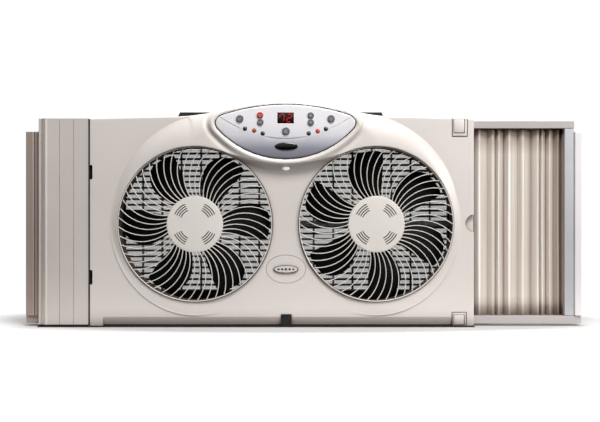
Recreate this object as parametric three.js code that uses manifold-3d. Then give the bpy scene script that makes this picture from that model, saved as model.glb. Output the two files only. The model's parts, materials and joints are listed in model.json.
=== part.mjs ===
// Twin window fan: two reversible axial fans side by side in one moulded body, a control head above
// them, a clip-on extension panel at the left end and a slide-out pleated extender at each end.
// Millimetres. +X is to the right, +Y to the back and +Z up. The origin is on the sill, midway
// between the two fans.

import * as THREE from 'three';
import { mergeVertices } from 'three/addons/utils/BufferGeometryUtils.js';
import Module from 'manifold-3d';

const wasm = await Module();
wasm.setup();

// ---------------------------------------------------------------- driving dimensions

const GAP = 0.3; // clearance between two pieces that meet
const WALL = 2.2; // moulded wall thickness
const THROUGH = 1; // how far a cutter runs past the face that it cuts

const BODY = { left: -300.6, right: 288.4, top: 318.7, front: -45, split: -10, back: 50 };
const CROWN = 4.5; // how far the middle of the top edge rises above its ends
const CORNER = 2; // bevel on the body's corners

const FAN_CENTRES = { left: -138.7, right: 138.7 };
const FAN_HEIGHT = 156.8;
const OPENING_RADIUS = 118.5;
const ROUND = 44; // sides of the large circles

const BEZEL = { radius: 142, crest: 7 }; // soft raised ring around each opening
const COLLAR_BACK = -12; // the collar runs from the front face to here

const HEAD = { front: -60, back: BODY.split - GAP, rim: 7, floor: 5, recess: 2.6, ledge: 9 };
const EYE = {
  // the eye-shaped control panel: two arcs that meet in rounded tips
  lowArc: { z: 396.2, radius: 139.2, halfWidth: 101 },
  highArc: { z: 35, radius: 305.5, halfWidth: 98 },
  tip: { x: 115, z: 318 },
};

const GRILLE = { front: -50.5, depth: 3.5, ring: 4, rib: 1.5, ribs: 52, hub: 43.3 };
const RIB_CHORD = 74.6; // straight length from the hub to the rim
const RIB_LEAN = -10.9; // degrees from the radius at the hub to the chord
const RIB_BULGE = 11.7; // how far the arc of a rib stands off its chord
const RIB_STEPS = 3;
const FIRST_RIB = { left: 2.1, right: 0.3 }; // degrees, counter-clockwise from +X
const HUB_SLOT = { radii: [24.8, 27.5, 30.2, 32.9], spread: 19, half: 0.6 }; // spread in degrees

const REAR_GRILLE = { half: 126, rows: 16, columns: 6, bar: 2, border: 4, front: 45.5, back: 49.5 };
const SCREEN = { thick: 0.6, front: 44.2, border: 3 };

const BLADE = { count: 6, root: 29, tip: 112, thick: 2, along: 5, across: 3, middle: -19 };
const BLADE_EDGES = { leading: 8.8, bow: 52, trailing: -19, sweep: 5 }; // degrees
const BLADE_PITCH = { root: 20, tip: 13 }; // depth from the leading to the trailing edge
const HUB = { radius: 30, wall: 2.5, face: 3, front: -34, back: -5, boss: 8, bossBack: -10 };
const FIRST_BLADE = { left: 2, right: 38 }; // degrees, counter-clockwise from +X
const SPINDLE = { radius: 4, front: -29.7, back: 24 };
const MOTOR = { radius: 38, front: 4, back: 40.7 };
const BRACKET = { half: 132, height: 10, front: 41, thick: 3, disc: 32 };

const BUTTON = { cap: -62.3, flange: 0.6, flangeDepth: 1.5, board: 1.6 };
const BUTTON_SPOTS = {
  button_speed_left: [-69.2, 316.9, 5.2],
  button_power: [-38.6, 322.2, 4.5],
  button_airflow: [-38.1, 311.6, 4.5],
  button_mode: [0.6, 298, 5.4],
  button_temp_up: [38.4, 321.8, 4.5],
  button_temp_down: [38.4, 311.2, 4.5],
  button_speed_right: [69.2, 316.9, 5.2],
};
const LED_RADIUS = 3.2;
const LED_SPOTS = {
  led_left_low: [-61.5, 301.7],
  led_left_medium: [-47.4, 298.8],
  led_left_high: [-34.6, 294.4],
  led_right_low: [35.2, 294.5],
  led_right_medium: [48.8, 297.7],
  led_right_high: [61.2, 301.3],
};
const DISPLAY = { left: -12.7, right: 13, bottom: 309.5, top: 326.7 };
const IR_WINDOW = { x: 1.2, z: 275, halfWidth: 18.1, halfHeight: 6.3 };
const BOARD = { front: -48, back: -46.4 };
const POWER_BOARD = { half: 17, low: 206, high: 248, front: -30, back: -28.4 };
const TRANSFORMER = { half: 13, low: 212, high: 238, back: -12.5 };

const BADGE = { x: 0.5, z: 88, halfWidth: 19.7, halfHeight: 7, front: -47 };
const HANDLE = { left: -173.4, right: 156.2, top: 333.5, front: 8, back: 30, bevel: 5 };
const HAND_POCKET = { left: -140, right: 125, front: 4, floor: 292 };

const CHIN = { left: -279.5, right: 256.3, height: 15, depth: 5 }; // dark chamfer along the bottom
const NOTCH = { z: 158, radius: 13.5, depth: 6 }; // finger notch in the right-hand edge
const GLAND = { left: -6.9, right: 8.9, top: 18.8, front: -46.5, back: -30, bore: 3.2 };
const CLIP = { left: 257.2, right: 273.6, height: 19, drop: 21.7, front: -46.8 }; // drop: the top one
const HOOK_HEIGHTS = { extension_clip_top: 236.5, extension_clip_bottom: 75.5 };
const HOOK = { half: 11.8, reach: -295.3, front: -38, back: -24 };

const PANEL = { left: -378.7, right: -301.4, back: -5 };
const GROOVES = { places: [-346, -324.4], width: 1.2, depth: 0.8 }; // down the panel's face

// Each extender slides on two rails, behind the front face of the body or of the extension panel.
const EXTENDER = { front: -34, back: -14, low: 3.9, high: 315.8, rail: 11.4, stile: 15 };
const FLANGE_TOP = 299.3;
const RIGHT_EXTENDER = { inner: 262, outer: 445, flange: 10.2, pleatFrom: 264, folds: 10 };
const LEFT_EXTENDER = { inner: -306, outer: -378.2, flange: 21.8, pleatFrom: -306, folds: 10 };
const PLEAT = { front: -30, back: -18, film: 0.8 };

const SCREW = { head: 3.6, shank: 1.9, depth: 12, proud: 1.6 };
const SCREW_SPOTS = [[-284, 14], [272, 14], [-284, 302], [272, 302]];

// ---------------------------------------------------------------- materials

const plastic = (color, roughness = 0.45) => new THREE.MeshStandardMaterial({ color, roughness });
const MATERIAL = {
  body: () => plastic(0xcbc3bc),
  panel: () => plastic(0xbeb5ae),
  rail: () => plastic(0xc3bebe),
  pleat: () => plastic(0xc8b9af, 0.55),
  fascia: () => new THREE.MeshStandardMaterial({ color: 0xc8c8d2, roughness: 0.3, metalness: 0.6 }),
  black: () => plastic(0x0c0c0d, 0.35),
  smoked: () => plastic(0x14090a, 0.08),
  button: () => plastic(0x8d8a93, 0.4),
  redButton: () => plastic(0xb02a28, 0.35),
  led: () => plastic(0x3a2422, 0.2),
  steel: () => new THREE.MeshStandardMaterial({ color: 0x9a9ca0, roughness: 0.35, metalness: 1 }),
  circuit: () => plastic(0x1f5a34, 0.5),
  screen: () => plastic(0x9b9895, 0.7),
};

// ---------------------------------------------------------------- solids and shapes

const degrees = THREE.MathUtils.degToRad;

/** Six times the volume inside the triangles, negative where the faces point inwards. */
function signedVolume(position, triangles) {
  const corner = (i) => new THREE.Vector3().fromArray(position, 3 * i);
  let total = 0;
  for (let i = 0; i < triangles.length; i += 3) {
    const across = corner(triangles[i + 1]).cross(corner(triangles[i + 2]));
    total += corner(triangles[i]).dot(across);
  }
  return total;
}

/** A closed three.js geometry as a solid with its faces pointing out, that can be joined and cut. */
function toSolid(geometry) {
  const bare = geometry.clone();
  bare.deleteAttribute('normal');
  bare.deleteAttribute('uv');
  const merged = mergeVertices(bare, 1e-4);
  const vertProperties = new Float32Array(merged.attributes.position.array);
  const index = merged.index.array;
  const kept = [];
  for (let i = 0; i < index.length; i += 3) {
    const [a, b, c] = [index[i], index[i + 1], index[i + 2]];
    if (a !== b && b !== c && c !== a) kept.push(a, b, c);
  }
  if (signedVolume(vertProperties, kept) < 0) kept.reverse();
  const triVerts = new Uint32Array(kept);
  return new wasm.Manifold(new wasm.Mesh({ numProp: 3, vertProperties, triVerts }));
}

/** A solid back as a geometry. */
function toGeometry(solid) {
  const mesh = solid.getMesh();
  const geometry = new THREE.BufferGeometry();
  geometry.setAttribute('position', new THREE.BufferAttribute(mesh.vertProperties, 3));
  geometry.setIndex(new THREE.BufferAttribute(mesh.triVerts, 1));
  geometry.computeVertexNormals();
  return geometry;
}

/** A box between two corners. */
function block([x0, x1], [y0, y1], [z0, z1]) {
  const geometry = new THREE.BoxGeometry(x1 - x0, y1 - y0, z1 - z0);
  return toSolid(geometry.translate((x0 + x1) / 2, (y0 + y1) / 2, (z0 + z1) / 2));
}

/** An outline drawn in X and Z, as a plate from front to back along Y. */
function plate(outline, front, back, curveSegments = 8) {
  const settings = { depth: back - front, bevelEnabled: false, curveSegments };
  const geometry = new THREE.ExtrudeGeometry(outline, settings);
  return toSolid(geometry.rotateX(Math.PI / 2).translate(0, back, 0));
}

/** A profile of [radius, y] points turned about a line along Y through (x, z). */
function turned(profile, x, z, segments = 24) {
  const points = profile.map(([radius, y]) => new THREE.Vector2(radius, y));
  return toSolid(new THREE.LatheGeometry(points, segments).translate(x, 0, z));
}

/** A closed polygon through [x, z] points. */
function polygon(points) {
  return new THREE.Shape(points.map(([x, z]) => new THREE.Vector2(x, z)));
}

/** A full circle or ellipse about (x, z). */
function ellipse(x, z, halfWidth, halfHeight = halfWidth) {
  const shape = new THREE.Shape();
  shape.absellipse(x, z, halfWidth, halfHeight, 0, 2 * Math.PI);
  return shape;
}

/** A solid disc or drum about a line along Y. */
function drum(x, z, radius, front, back, segments = 24) {
  return turned([[0, front], [radius, front], [radius, back], [0, back]], x, z, segments);
}

/** A piece of the object, as a named mesh. */
function piece(name, solid, material) {
  const mesh = new THREE.Mesh(toGeometry(solid), material);
  mesh.name = name;
  return mesh;
}

/** Height of the body's top edge at x. */
function crownHeight(x) {
  const middle = (BODY.left + BODY.right) / 2;
  const across = (x - middle) / (BODY.right - middle);
  return BODY.top + CROWN * (1 - across * across);
}

/** The body's outline, or the same outline moved inwards. */
function bodyOutline(inset = 0) {
  const left = BODY.left + inset;
  const right = BODY.right - inset;
  const top = BODY.top - inset;
  const shape = new THREE.Shape();
  shape.moveTo(left + CORNER, inset);
  shape.lineTo(right - CORNER, inset);
  shape.lineTo(right, inset + CORNER);
  shape.lineTo(right, top - CORNER);
  shape.lineTo(right - CORNER, top);
  shape.quadraticCurveTo((left + right) / 2, top + 2 * CROWN, left + CORNER, top);
  shape.lineTo(left, top - CORNER);
  shape.lineTo(left, inset + CORNER);
  return shape;
}

/** The eye-shaped outline of the control panel, grown by a margin. */
function eyeOutline(margin = 0) {
  const { lowArc, highArc, tip } = EYE;
  const low = Math.asin(lowArc.halfWidth / lowArc.radius);
  const high = Math.asin(highArc.halfWidth / highArc.radius);
  const shape = new THREE.Shape();
  shape.absarc(0, lowArc.z, lowArc.radius + margin, -Math.PI / 2 - low, -Math.PI / 2 + low);
  const shoulder = highArc.radius + margin;
  const reach = shoulder * Math.sin(high);
  const height = highArc.z + shoulder * Math.cos(high);
  shape.quadraticCurveTo(tip.x + 1.6 * margin, tip.z, reach, height);
  shape.absarc(0, highArc.z, shoulder, Math.PI / 2 - high, Math.PI / 2 + high);
  const [start] = shape.getPoints(1);
  shape.quadraticCurveTo(-tip.x - 1.6 * margin, tip.z, start.x, start.y);
  return shape;
}

// ---------------------------------------------------------------- front housing

/** The raised ring around an opening, with the collar that shrouds the blades. */
function bezel(x) {
  const face = BODY.front;
  const crest = face - BEZEL.crest;
  const soft = [
    [OPENING_RADIUS, COLLAR_BACK],
    [OPENING_RADIUS, crest + 2],
    [OPENING_RADIUS + 2, crest],
    [OPENING_RADIUS + 6, crest],
    [BEZEL.radius - 9, face - 3],
    [BEZEL.radius, face],
    [BEZEL.radius, face + WALL],
    [OPENING_RADIUS + WALL, face + WALL],
    [OPENING_RADIUS + WALL, COLLAR_BACK],
    [OPENING_RADIUS, COLLAR_BACK],
  ];
  return turned(soft, x, FAN_HEIGHT, ROUND);
}

/** The eye-shaped swelling that carries the controls, and its hump above the body. */
function headSwelling() {
  const front = plate(eyeOutline(HEAD.rim), HEAD.front, BODY.front + WALL);
  const whole = plate(eyeOutline(HEAD.rim), HEAD.front, HEAD.back);
  const across = [BODY.left, BODY.right];
  const above = block(across, [HEAD.front, HEAD.back], [BODY.top - WALL, 2 * BODY.top]);
  return front.add(whole.intersect(above));
}

/** What is cut from the head: its hollow, the seat for the fascia and the window behind it. */
function headHollow() {
  const inside = plate(eyeOutline(HEAD.rim - WALL), HEAD.front + HEAD.floor, HEAD.back - WALL);
  const seat = plate(eyeOutline(GAP), HEAD.front - THROUGH, HEAD.front + HEAD.recess);
  const window = plate(eyeOutline(-HEAD.ledge), HEAD.front, HEAD.front + HEAD.floor + THROUGH);
  return inside.add(seat).add(window);
}

/** The wedge cut off the bottom front edge, and the thicker strip that it is cut from. */
function chin() {
  const inset = WALL / 2; // the strip is sunk this far into the walls that it joins
  const strip = block(
    [CHIN.left, CHIN.right],
    [BODY.front + inset, BODY.front + CHIN.depth + WALL],
    [inset, CHIN.height + WALL],
  );
  const section = polygon([
    [BODY.front - THROUGH, -THROUGH],
    [BODY.front + CHIN.depth, -THROUGH],
    [BODY.front + CHIN.depth, 0],
    [BODY.front, CHIN.height],
    [BODY.front - THROUGH, CHIN.height],
  ]);
  const length = CHIN.right - CHIN.left;
  const wedge = new THREE.ExtrudeGeometry(section, { depth: length, bevelEnabled: false });
  wedge.rotateX(Math.PI / 2).rotateZ(Math.PI / 2).translate(CHIN.left, 0, 0);
  return { strip, wedge: toSolid(wedge) };
}

/** The half-round finger notch in the right-hand edge: a cup, and what is cut from it. */
function fingerNotch() {
  const floor = BODY.front + NOTCH.depth;
  const around = 2 * NOTCH.radius;
  const height = [NOTCH.z - around, NOTCH.z + around];
  const side = block([BODY.right - around, BODY.right], [BODY.front, floor + WALL], height);
  const cup = drum(BODY.right, NOTCH.z, NOTCH.radius + WALL, BODY.front, floor + WALL).intersect(side);
  const hollow = drum(BODY.right, NOTCH.z, NOTCH.radius, BODY.front - THROUGH, floor);
  return { cup, hollow };
}

/** Slot in the end wall that the right-hand extender slides through. */
function extenderSlot() {
  const { front, back, low, high } = EXTENDER;
  const across = [BODY.right - WALL - CORNER - THROUGH, BODY.right + THROUGH];
  return block(across, [front - 1, back + 1], [low - GAP, high + GAP]);
}

/** Recesses in the left-hand edge for the two hooks of the extension panel. */
function hookRecess(z) {
  const across = [BODY.left - THROUGH, HOOK.reach];
  return block(across, [BODY.front - THROUGH, HOOK.back + 2], [z - HOOK.half, z + HOOK.half]);
}

/** Seats for the corner clips, cut right through the face. */
function clipSeat(low, high) {
  const across = [CLIP.left - GAP, CLIP.right + GAP];
  return block(across, [BODY.front - THROUGH, BODY.front + 3], [low, high]);
}

function frontHousing() {
  const skin = plate(bodyOutline(), BODY.front, BODY.split - GAP);
  const hollow = plate(bodyOutline(WALL), BODY.front + WALL, BODY.split + THROUGH);
  const bottom = chin();
  const notch = fingerNotch();
  let shell = skin.subtract(hollow).add(headSwelling()).add(bottom.strip);
  shell = shell.add(notch.cup);
  const head = plate(eyeOutline(HEAD.rim - WALL), HEAD.front, BODY.front + WALL + THROUGH);
  const badgeSeat = plate(
    ellipse(BADGE.x, BADGE.z, BADGE.halfWidth + GAP, BADGE.halfHeight + GAP),
    HEAD.front,
    BODY.front - GAP,
  );
  for (const x of Object.values(FAN_CENTRES)) {
    shell = shell.add(bezel(x).subtract(head).subtract(badgeSeat));
  }
  shell = shell.subtract(headHollow());
  for (const x of Object.values(FAN_CENTRES)) {
    const reach = [HEAD.front - THROUGH, COLLAR_BACK + THROUGH];
    shell = shell.subtract(drum(x, FAN_HEIGHT, OPENING_RADIUS, ...reach, ROUND));
  }
  shell = shell.subtract(bottom.wedge).subtract(notch.hollow).subtract(extenderSlot());
  for (const z of Object.values(HOOK_HEIGHTS)) shell = shell.subtract(hookRecess(z));
  const { left, right, top, back } = GLAND;
  shell = shell.subtract(block([left - GAP, right + GAP], [HEAD.front, back + GAP], [-THROUGH, top + GAP]));
  shell = shell.subtract(clipSeat(-THROUGH, CLIP.height + GAP));
  shell = shell.subtract(clipSeat(BODY.top - CLIP.drop - GAP, BODY.top + CLIP.height));
  return piece('front_housing', shell, MATERIAL.body());
}

// ---------------------------------------------------------------- rear housing

/** A square window in the back for one fan. */
function rearWindow(x) {
  const half = REAR_GRILLE.half;
  const across = [x - half, x + half];
  return block(across, [BODY.back - 2 * WALL, BODY.back + THROUGH], [FAN_HEIGHT - half, FAN_HEIGHT + half]);
}

/** The walls of the hand pocket under the carry handle. */
function handPocket() {
  const { left, right, front, floor } = HAND_POCKET;
  const walls = block(
    [left - WALL, right + WALL],
    [front - WALL, BODY.back],
    [floor - WALL, BODY.top - WALL / 2],
  );
  const space = block([left, right], [front, BODY.back + THROUGH], [floor, 2 * BODY.top]);
  return { walls, space };
}

function rearHousing() {
  const skin = plate(bodyOutline(), BODY.split, BODY.back);
  const hollow = plate(bodyOutline(WALL), BODY.split - THROUGH, BODY.back - WALL);
  const pocket = handPocket();
  let shell = skin.subtract(hollow).add(pocket.walls).subtract(pocket.space);
  for (const x of Object.values(FAN_CENTRES)) shell = shell.subtract(rearWindow(x));
  for (const [x, z] of SCREW_SPOTS) {
    const boss = drum(x, z, SCREW.head + WALL, BODY.back - SCREW.depth - WALL, BODY.back, 16);
    const bore = drum(x, z, SCREW.shank + GAP, BODY.back - SCREW.depth - GAP, BODY.back + THROUGH, 16);
    shell = shell.add(boss).subtract(bore);
  }
  return piece('rear_housing', shell, MATERIAL.body());
}

function housingScrews() {
  const { head, shank, depth, proud } = SCREW;
  return SCREW_SPOTS.map(([x, z], i) => {
    const seat = BODY.back + GAP;
    const profile = [
      [0, seat - depth],
      [shank, seat - depth],
      [shank, seat],
      [head, seat],
      [head * 0.8, seat + proud],
      [0, seat + proud],
    ];
    return piece(`housing_screw_${i + 1}`, turned(profile, x, z, 12), MATERIAL.steel());
  });
}

// ---------------------------------------------------------------- grilles

/** Outline of one curved rib: an arc from the hub to the rim, with the rib's width. */
function ribOutline(x, angle) {
  const radius = (RIB_CHORD ** 2 / 4 + RIB_BULGE ** 2) / (2 * RIB_BULGE);
  const half = Math.asin(RIB_CHORD / 2 / radius);
  const start = new THREE.Vector2(GRILLE.hub - 0.6, 0).rotateAround(new THREE.Vector2(), angle);
  const lean = angle + degrees(RIB_LEAN);
  const along = new THREE.Vector2(Math.cos(lean), Math.sin(lean));
  const aside = new THREE.Vector2(-along.y, along.x);
  const side = (offset, step) => {
    const turn = half * (2 * step / RIB_STEPS - 1);
    const far = RIB_CHORD / 2 + (radius + offset) * Math.sin(turn);
    const off = (radius + offset) * Math.cos(turn) - radius * Math.cos(half);
    const point = start.clone().addScaledVector(along, far).addScaledVector(aside, off);
    return [x + point.x, FAN_HEIGHT + point.y];
  };
  const steps = Array.from({ length: RIB_STEPS + 1 }, (_, step) => step);
  const outer = steps.map((step) => side(GRILLE.rib / 2, step));
  const inner = steps.map((step) => side(-GRILLE.rib / 2, step)).reverse();
  return polygon([...outer, ...inner]);
}

/** One of the short arc slots in the hub cap. */
function hubSlot(x, radius, middle) {
  const half = degrees(HUB_SLOT.spread);
  const shape = new THREE.Shape();
  shape.absarc(x, FAN_HEIGHT, radius + HUB_SLOT.half, middle - half, middle + half, false);
  shape.absarc(x, FAN_HEIGHT, radius - HUB_SLOT.half, middle + half, middle - half, true);
  return plate(shape, GRILLE.front - THROUGH, GRILLE.front + GRILLE.depth + THROUGH, 2);
}

function frontGrille(side) {
  const x = FAN_CENTRES[side];
  const { front, depth, ring, ribs, hub } = GRILLE;
  const back = front + depth;
  const outer = OPENING_RADIUS - GAP;
  const inner = outer - ring;
  const ringProfile = [[inner, back], [inner, front], [outer, front], [outer, back], [inner, back]];
  let grille = turned(ringProfile, x, FAN_HEIGHT, ROUND);
  grille = grille.add(drum(x, FAN_HEIGHT, hub, front, back, ROUND));
  for (let i = 0; i < ribs; i += 1) {
    const angle = degrees(FIRST_RIB[side]) + (i * 2 * Math.PI) / ribs;
    grille = grille.add(plate(ribOutline(x, angle), front + 0.3, back - 0.3));
  }
  for (let quarter = 0; quarter < 4; quarter += 1) {
    const middle = ((2 * quarter + 1) * Math.PI) / 4;
    for (const radius of HUB_SLOT.radii) grille = grille.subtract(hubSlot(x, radius, middle));
  }
  return piece(`front_grille_${side}`, grille, MATERIAL.body());
}

function rearGrille(side) {
  const x = FAN_CENTRES[side];
  const { half, rows, columns, bar, border, front, back } = REAR_GRILLE;
  const outer = half - GAP;
  const inner = outer - border;
  const depth = [front, back];
  const square = (size) => [[x - size, x + size], [FAN_HEIGHT - size, FAN_HEIGHT + size]];
  const [acrossOuter, upOuter] = square(outer);
  const [acrossInner, upInner] = square(inner);
  let grille = block(acrossOuter, depth, upOuter);
  grille = grille.subtract(block(acrossInner, [front - THROUGH, back + THROUGH], upInner));
  const pitchX = (2 * inner + bar) / columns;
  const pitchZ = (2 * inner + bar) / rows;
  for (let column = 1; column < columns; column += 1) {
    const left = x - inner + column * pitchX - bar;
    grille = grille.add(block([left, left + bar], depth, [upInner[0] - THROUGH, upInner[1] + THROUGH]));
  }
  for (let row = 1; row < rows; row += 1) {
    const low = FAN_HEIGHT - inner + row * pitchZ - bar;
    grille = grille.add(block([acrossInner[0] - THROUGH, acrossInner[1] + THROUGH], depth, [low, low + bar]));
  }
  return piece(`rear_grille_${side}`, grille, MATERIAL.body());
}

/** The insect screen in front of the rear grille, as a thin sheet. */
function rearScreen(side) {
  const x = FAN_CENTRES[side];
  const half = REAR_GRILLE.half - SCREEN.border;
  const sheet = block(
    [x - half, x + half],
    [SCREEN.front, SCREEN.front + SCREEN.thick],
    [FAN_HEIGHT - half, FAN_HEIGHT + half],
  );
  return piece(`insect_screen_${side}`, sheet, MATERIAL.screen());
}

// ---------------------------------------------------------------- fans

/** One swept, twisted blade, made by bending a box. */
function blade(x, middle) {
  const { root, tip, thick, along, across } = BLADE;
  const geometry = new THREE.BoxGeometry(1, 1, 1, along, across, 1);
  const position = geometry.attributes.position;
  for (let i = 0; i < position.count; i += 1) {
    const u = position.getX(i) + 0.5;
    const v = position.getY(i) + 0.5;
    const radius = root + u * (tip - root);
    const leading = BLADE_EDGES.leading + BLADE_EDGES.bow * u * (1 - u);
    const trailing = BLADE_EDGES.trailing + BLADE_EDGES.sweep * u;
    const angle = middle + degrees(trailing + v * (leading - trailing));
    const pitch = THREE.MathUtils.lerp(BLADE_PITCH.root, BLADE_PITCH.tip, u);
    const y = BLADE.middle + pitch * (v - 0.5) + thick * position.getZ(i);
    position.setXYZ(i, x + radius * Math.cos(angle), y, FAN_HEIGHT + radius * Math.sin(angle));
  }
  return toSolid(geometry);
}

function impeller(side) {
  const x = FAN_CENTRES[side];
  const bore = SPINDLE.radius + GAP;
  const { radius, wall, face, front, back, boss, bossBack } = HUB;
  const hub = [
    [0, front],
    [radius - 2, front],
    [radius, front + 2],
    [radius, back],
    [radius - wall, back],
    [radius - wall, front + face],
    [boss, front + face],
    [boss, bossBack],
    [bore, bossBack],
    [bore, SPINDLE.front - GAP],
    [0, SPINDLE.front - GAP],
  ];
  let wheel = turned(hub, x, FAN_HEIGHT);
  for (let i = 0; i < BLADE.count; i += 1) {
    wheel = wheel.add(blade(x, degrees(FIRST_BLADE[side]) + (i * 2 * Math.PI) / BLADE.count));
  }
  return piece(`impeller_${side}`, wheel, MATERIAL.black());
}

function spindle(side) {
  const { radius, front, back } = SPINDLE;
  return piece(`spindle_${side}`, drum(FAN_CENTRES[side], FAN_HEIGHT, radius, front, back), MATERIAL.steel());
}

function motor(side) {
  const { radius, front, back } = MOTOR;
  const bore = SPINDLE.radius + GAP;
  const can = [
    [bore, front],
    [16, front],
    [18, front + 4],
    [radius - 3, front + 6],
    [radius, front + 9],
    [radius, back - 3],
    [radius - 3, back],
    [0, back],
    [0, SPINDLE.back + 1],
    [bore, SPINDLE.back + 1],
    [bore, front],
  ];
  return piece(`motor_${side}`, turned(can, FAN_CENTRES[side], FAN_HEIGHT), MATERIAL.steel());
}

/** The bar across the back that carries a motor. */
function motorBracket(side) {
  const x = FAN_CENTRES[side];
  const { half, height, front, thick, disc } = BRACKET;
  const back = front + thick;
  const z = [FAN_HEIGHT - height / 2, FAN_HEIGHT + height / 2];
  const foot = BODY.back - WALL - GAP;
  const bar = block([x - half, x + half], [front, back], z)
    .add(drum(x, FAN_HEIGHT, disc, front, back))
    .add(block([x - half, x - half + 4], [front, foot], z))
    .add(block([x + half - 4, x + half], [front, foot], z));
  return piece(`motor_bracket_${side}`, bar, MATERIAL.body());
}

// ---------------------------------------------------------------- controls

function controlFascia() {
  const front = HEAD.front + 0.1;
  const back = HEAD.front + HEAD.recess - GAP;
  let fascia = plate(eyeOutline(), front, back);
  const cut = (shape) => {
    fascia = fascia.subtract(plate(shape, front - THROUGH, back + THROUGH, 10));
  };
  for (const [x, z, radius] of Object.values(BUTTON_SPOTS)) cut(ellipse(x, z, radius + GAP));
  for (const [x, z] of Object.values(LED_SPOTS)) cut(ellipse(x, z, LED_RADIUS + GAP));
  cut(ellipse(IR_WINDOW.x, IR_WINDOW.z, IR_WINDOW.halfWidth + GAP, IR_WINDOW.halfHeight + GAP));
  const { left, right, bottom, top } = DISPLAY;
  fascia = fascia.subtract(
    block([left - GAP, right + GAP], [front - THROUGH, back + THROUGH], [bottom - GAP, top + GAP]),
  );
  return piece('control_fascia', fascia, MATERIAL.fascia());
}

/** A push button: a cap through the fascia, a flange behind it and a stem to the board. */
function pushButton(name, x, z, radius) {
  const behind = HEAD.front + HEAD.recess;
  const { cap, flange, flangeDepth, board } = BUTTON;
  const profile = [
    [0, cap],
    [radius - 1, cap],
    [radius, cap + 1],
    [radius, behind],
    [radius + flange, behind],
    [radius + flange, behind + flangeDepth],
    [2, behind + flangeDepth],
    [2, BOARD.front - board],
    [0, BOARD.front - board],
  ];
  const material = name === 'button_power' ? MATERIAL.redButton() : MATERIAL.button();
  return piece(name, turned(profile, x, z, 16), material);
}

/** A round lamp whose domed end shows through the fascia. */
function lamp(name, x, z) {
  const dome = HEAD.front - 0.8;
  const profile = [
    [0, dome],
    [LED_RADIUS * 0.6, dome + 0.3],
    [LED_RADIUS, dome + 1.3],
    [LED_RADIUS, BOARD.front - GAP],
    [0, BOARD.front - GAP],
  ];
  return piece(name, turned(profile, x, z, 12), MATERIAL.led());
}

function displayModule() {
  const { left, right, bottom, top } = DISPLAY;
  const body = block([left, right], [HEAD.front, BOARD.front - GAP], [bottom, top]);
  return piece('display_module', body, MATERIAL.smoked());
}

function infraredWindow() {
  const { x, z, halfWidth, halfHeight } = IR_WINDOW;
  const lens = plate(ellipse(x, z, halfWidth, halfHeight), HEAD.front - 0.6, HEAD.front + HEAD.floor);
  return piece('infrared_window', lens, MATERIAL.smoked());
}

function controlBoard() {
  return piece('control_board', plate(eyeOutline(-HEAD.ledge), BOARD.front, BOARD.back), MATERIAL.circuit());
}

/** The mains board and its transformer, between the two fans. */
function powerBoard() {
  const { half, low, high, front, back } = POWER_BOARD;
  const board = block([-half, half], [front, back], [low, high]);
  const core = TRANSFORMER;
  const transformer = block([-core.half, core.half], [back - GAP, core.back], [core.low, core.high]);
  return piece('power_board', board.add(transformer), MATERIAL.circuit());
}

// ---------------------------------------------------------------- trim and handle

function badge() {
  const shape = ellipse(BADGE.x, BADGE.z, BADGE.halfWidth, BADGE.halfHeight);
  return piece('badge', plate(shape, BADGE.front, BODY.front - GAP), MATERIAL.fascia());
}

/** The black bar over the hand pocket, following the crown of the top. */
function carryHandle() {
  const { left, right, top, front, back, bevel } = HANDLE;
  const under = [];
  const steps = 8;
  for (let i = 0; i <= steps; i += 1) {
    const x = left + ((right - left) * i) / steps;
    under.push([x, crownHeight(x) + GAP]);
  }
  const outline = polygon([...under, [right - bevel, top], [left + bevel, top]]);
  return piece('carry_handle', plate(outline, front, back), MATERIAL.black());
}

/** A snap clip near a right-hand corner: a tab that fills its seat and stands a little proud. */
function cornerClip(name, low, high) {
  const tab = block([CLIP.left, CLIP.right], [CLIP.front, BODY.front + 2], [low, high]);
  return piece(name, tab, MATERIAL.body());
}

function cordGland() {
  const { left, right, top, front, back, bore } = GLAND;
  const middle = (left + right) / 2;
  const body = block([left, right], [front, back], [0.4, top]);
  const hole = drum(middle, top / 2, bore, back - 10, back + THROUGH, 20);
  return piece('cord_gland', body.subtract(hole), MATERIAL.black());
}

// ---------------------------------------------------------------- extension panel

function extensionPanel() {
  const { left, right, back } = PANEL;
  const { front } = BODY;
  let shell = block([left, right], [front, back], [0, BODY.top]);
  const inside = [[left - THROUGH, right - WALL], [front + WALL, back - WALL], [WALL, BODY.top - WALL]];
  shell = shell.subtract(block(...inside));
  for (const x of GROOVES.places) {
    const across = [x - GROOVES.width / 2, x + GROOVES.width / 2];
    const depth = [front - THROUGH, front + GROOVES.depth];
    shell = shell.subtract(block(across, depth, [-THROUGH, BODY.top + THROUGH]));
  }
  return piece('extension_panel', shell, MATERIAL.panel());
}

/** One hook of the extension panel, standing in its recess in the body. */
function panelHook(name, z) {
  const across = [PANEL.right + GAP, HOOK.reach - 0.7];
  const hook = block(across, [HOOK.front, HOOK.back], [z - HOOK.half + 1, z + HOOK.half - 1]);
  return piece(name, hook, MATERIAL.black());
}

// ---------------------------------------------------------------- extenders

/** A folded panel: a zigzag film between two places along X. */
function pleats(name, from, to, folds) {
  const { front, back, film } = PLEAT;
  const count = 2 * folds;
  const line = (offset) => {
    const points = [];
    for (let i = 0; i <= count; i += 1) {
      const x = from + ((to - from) * i) / count;
      points.push([x, (i % 2 ? back : front) + offset]);
    }
    return points;
  };
  const outline = polygon([...line(-film / 2), ...line(film / 2).reverse()]);
  const height = EXTENDER.high - EXTENDER.low - 2 * (EXTENDER.rail + GAP);
  const geometry = new THREE.ExtrudeGeometry(outline, { depth: height, bevelEnabled: false });
  geometry.translate(0, 0, EXTENDER.low + EXTENDER.rail + GAP);
  return piece(name, toSolid(geometry), MATERIAL.pleat());
}

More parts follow.
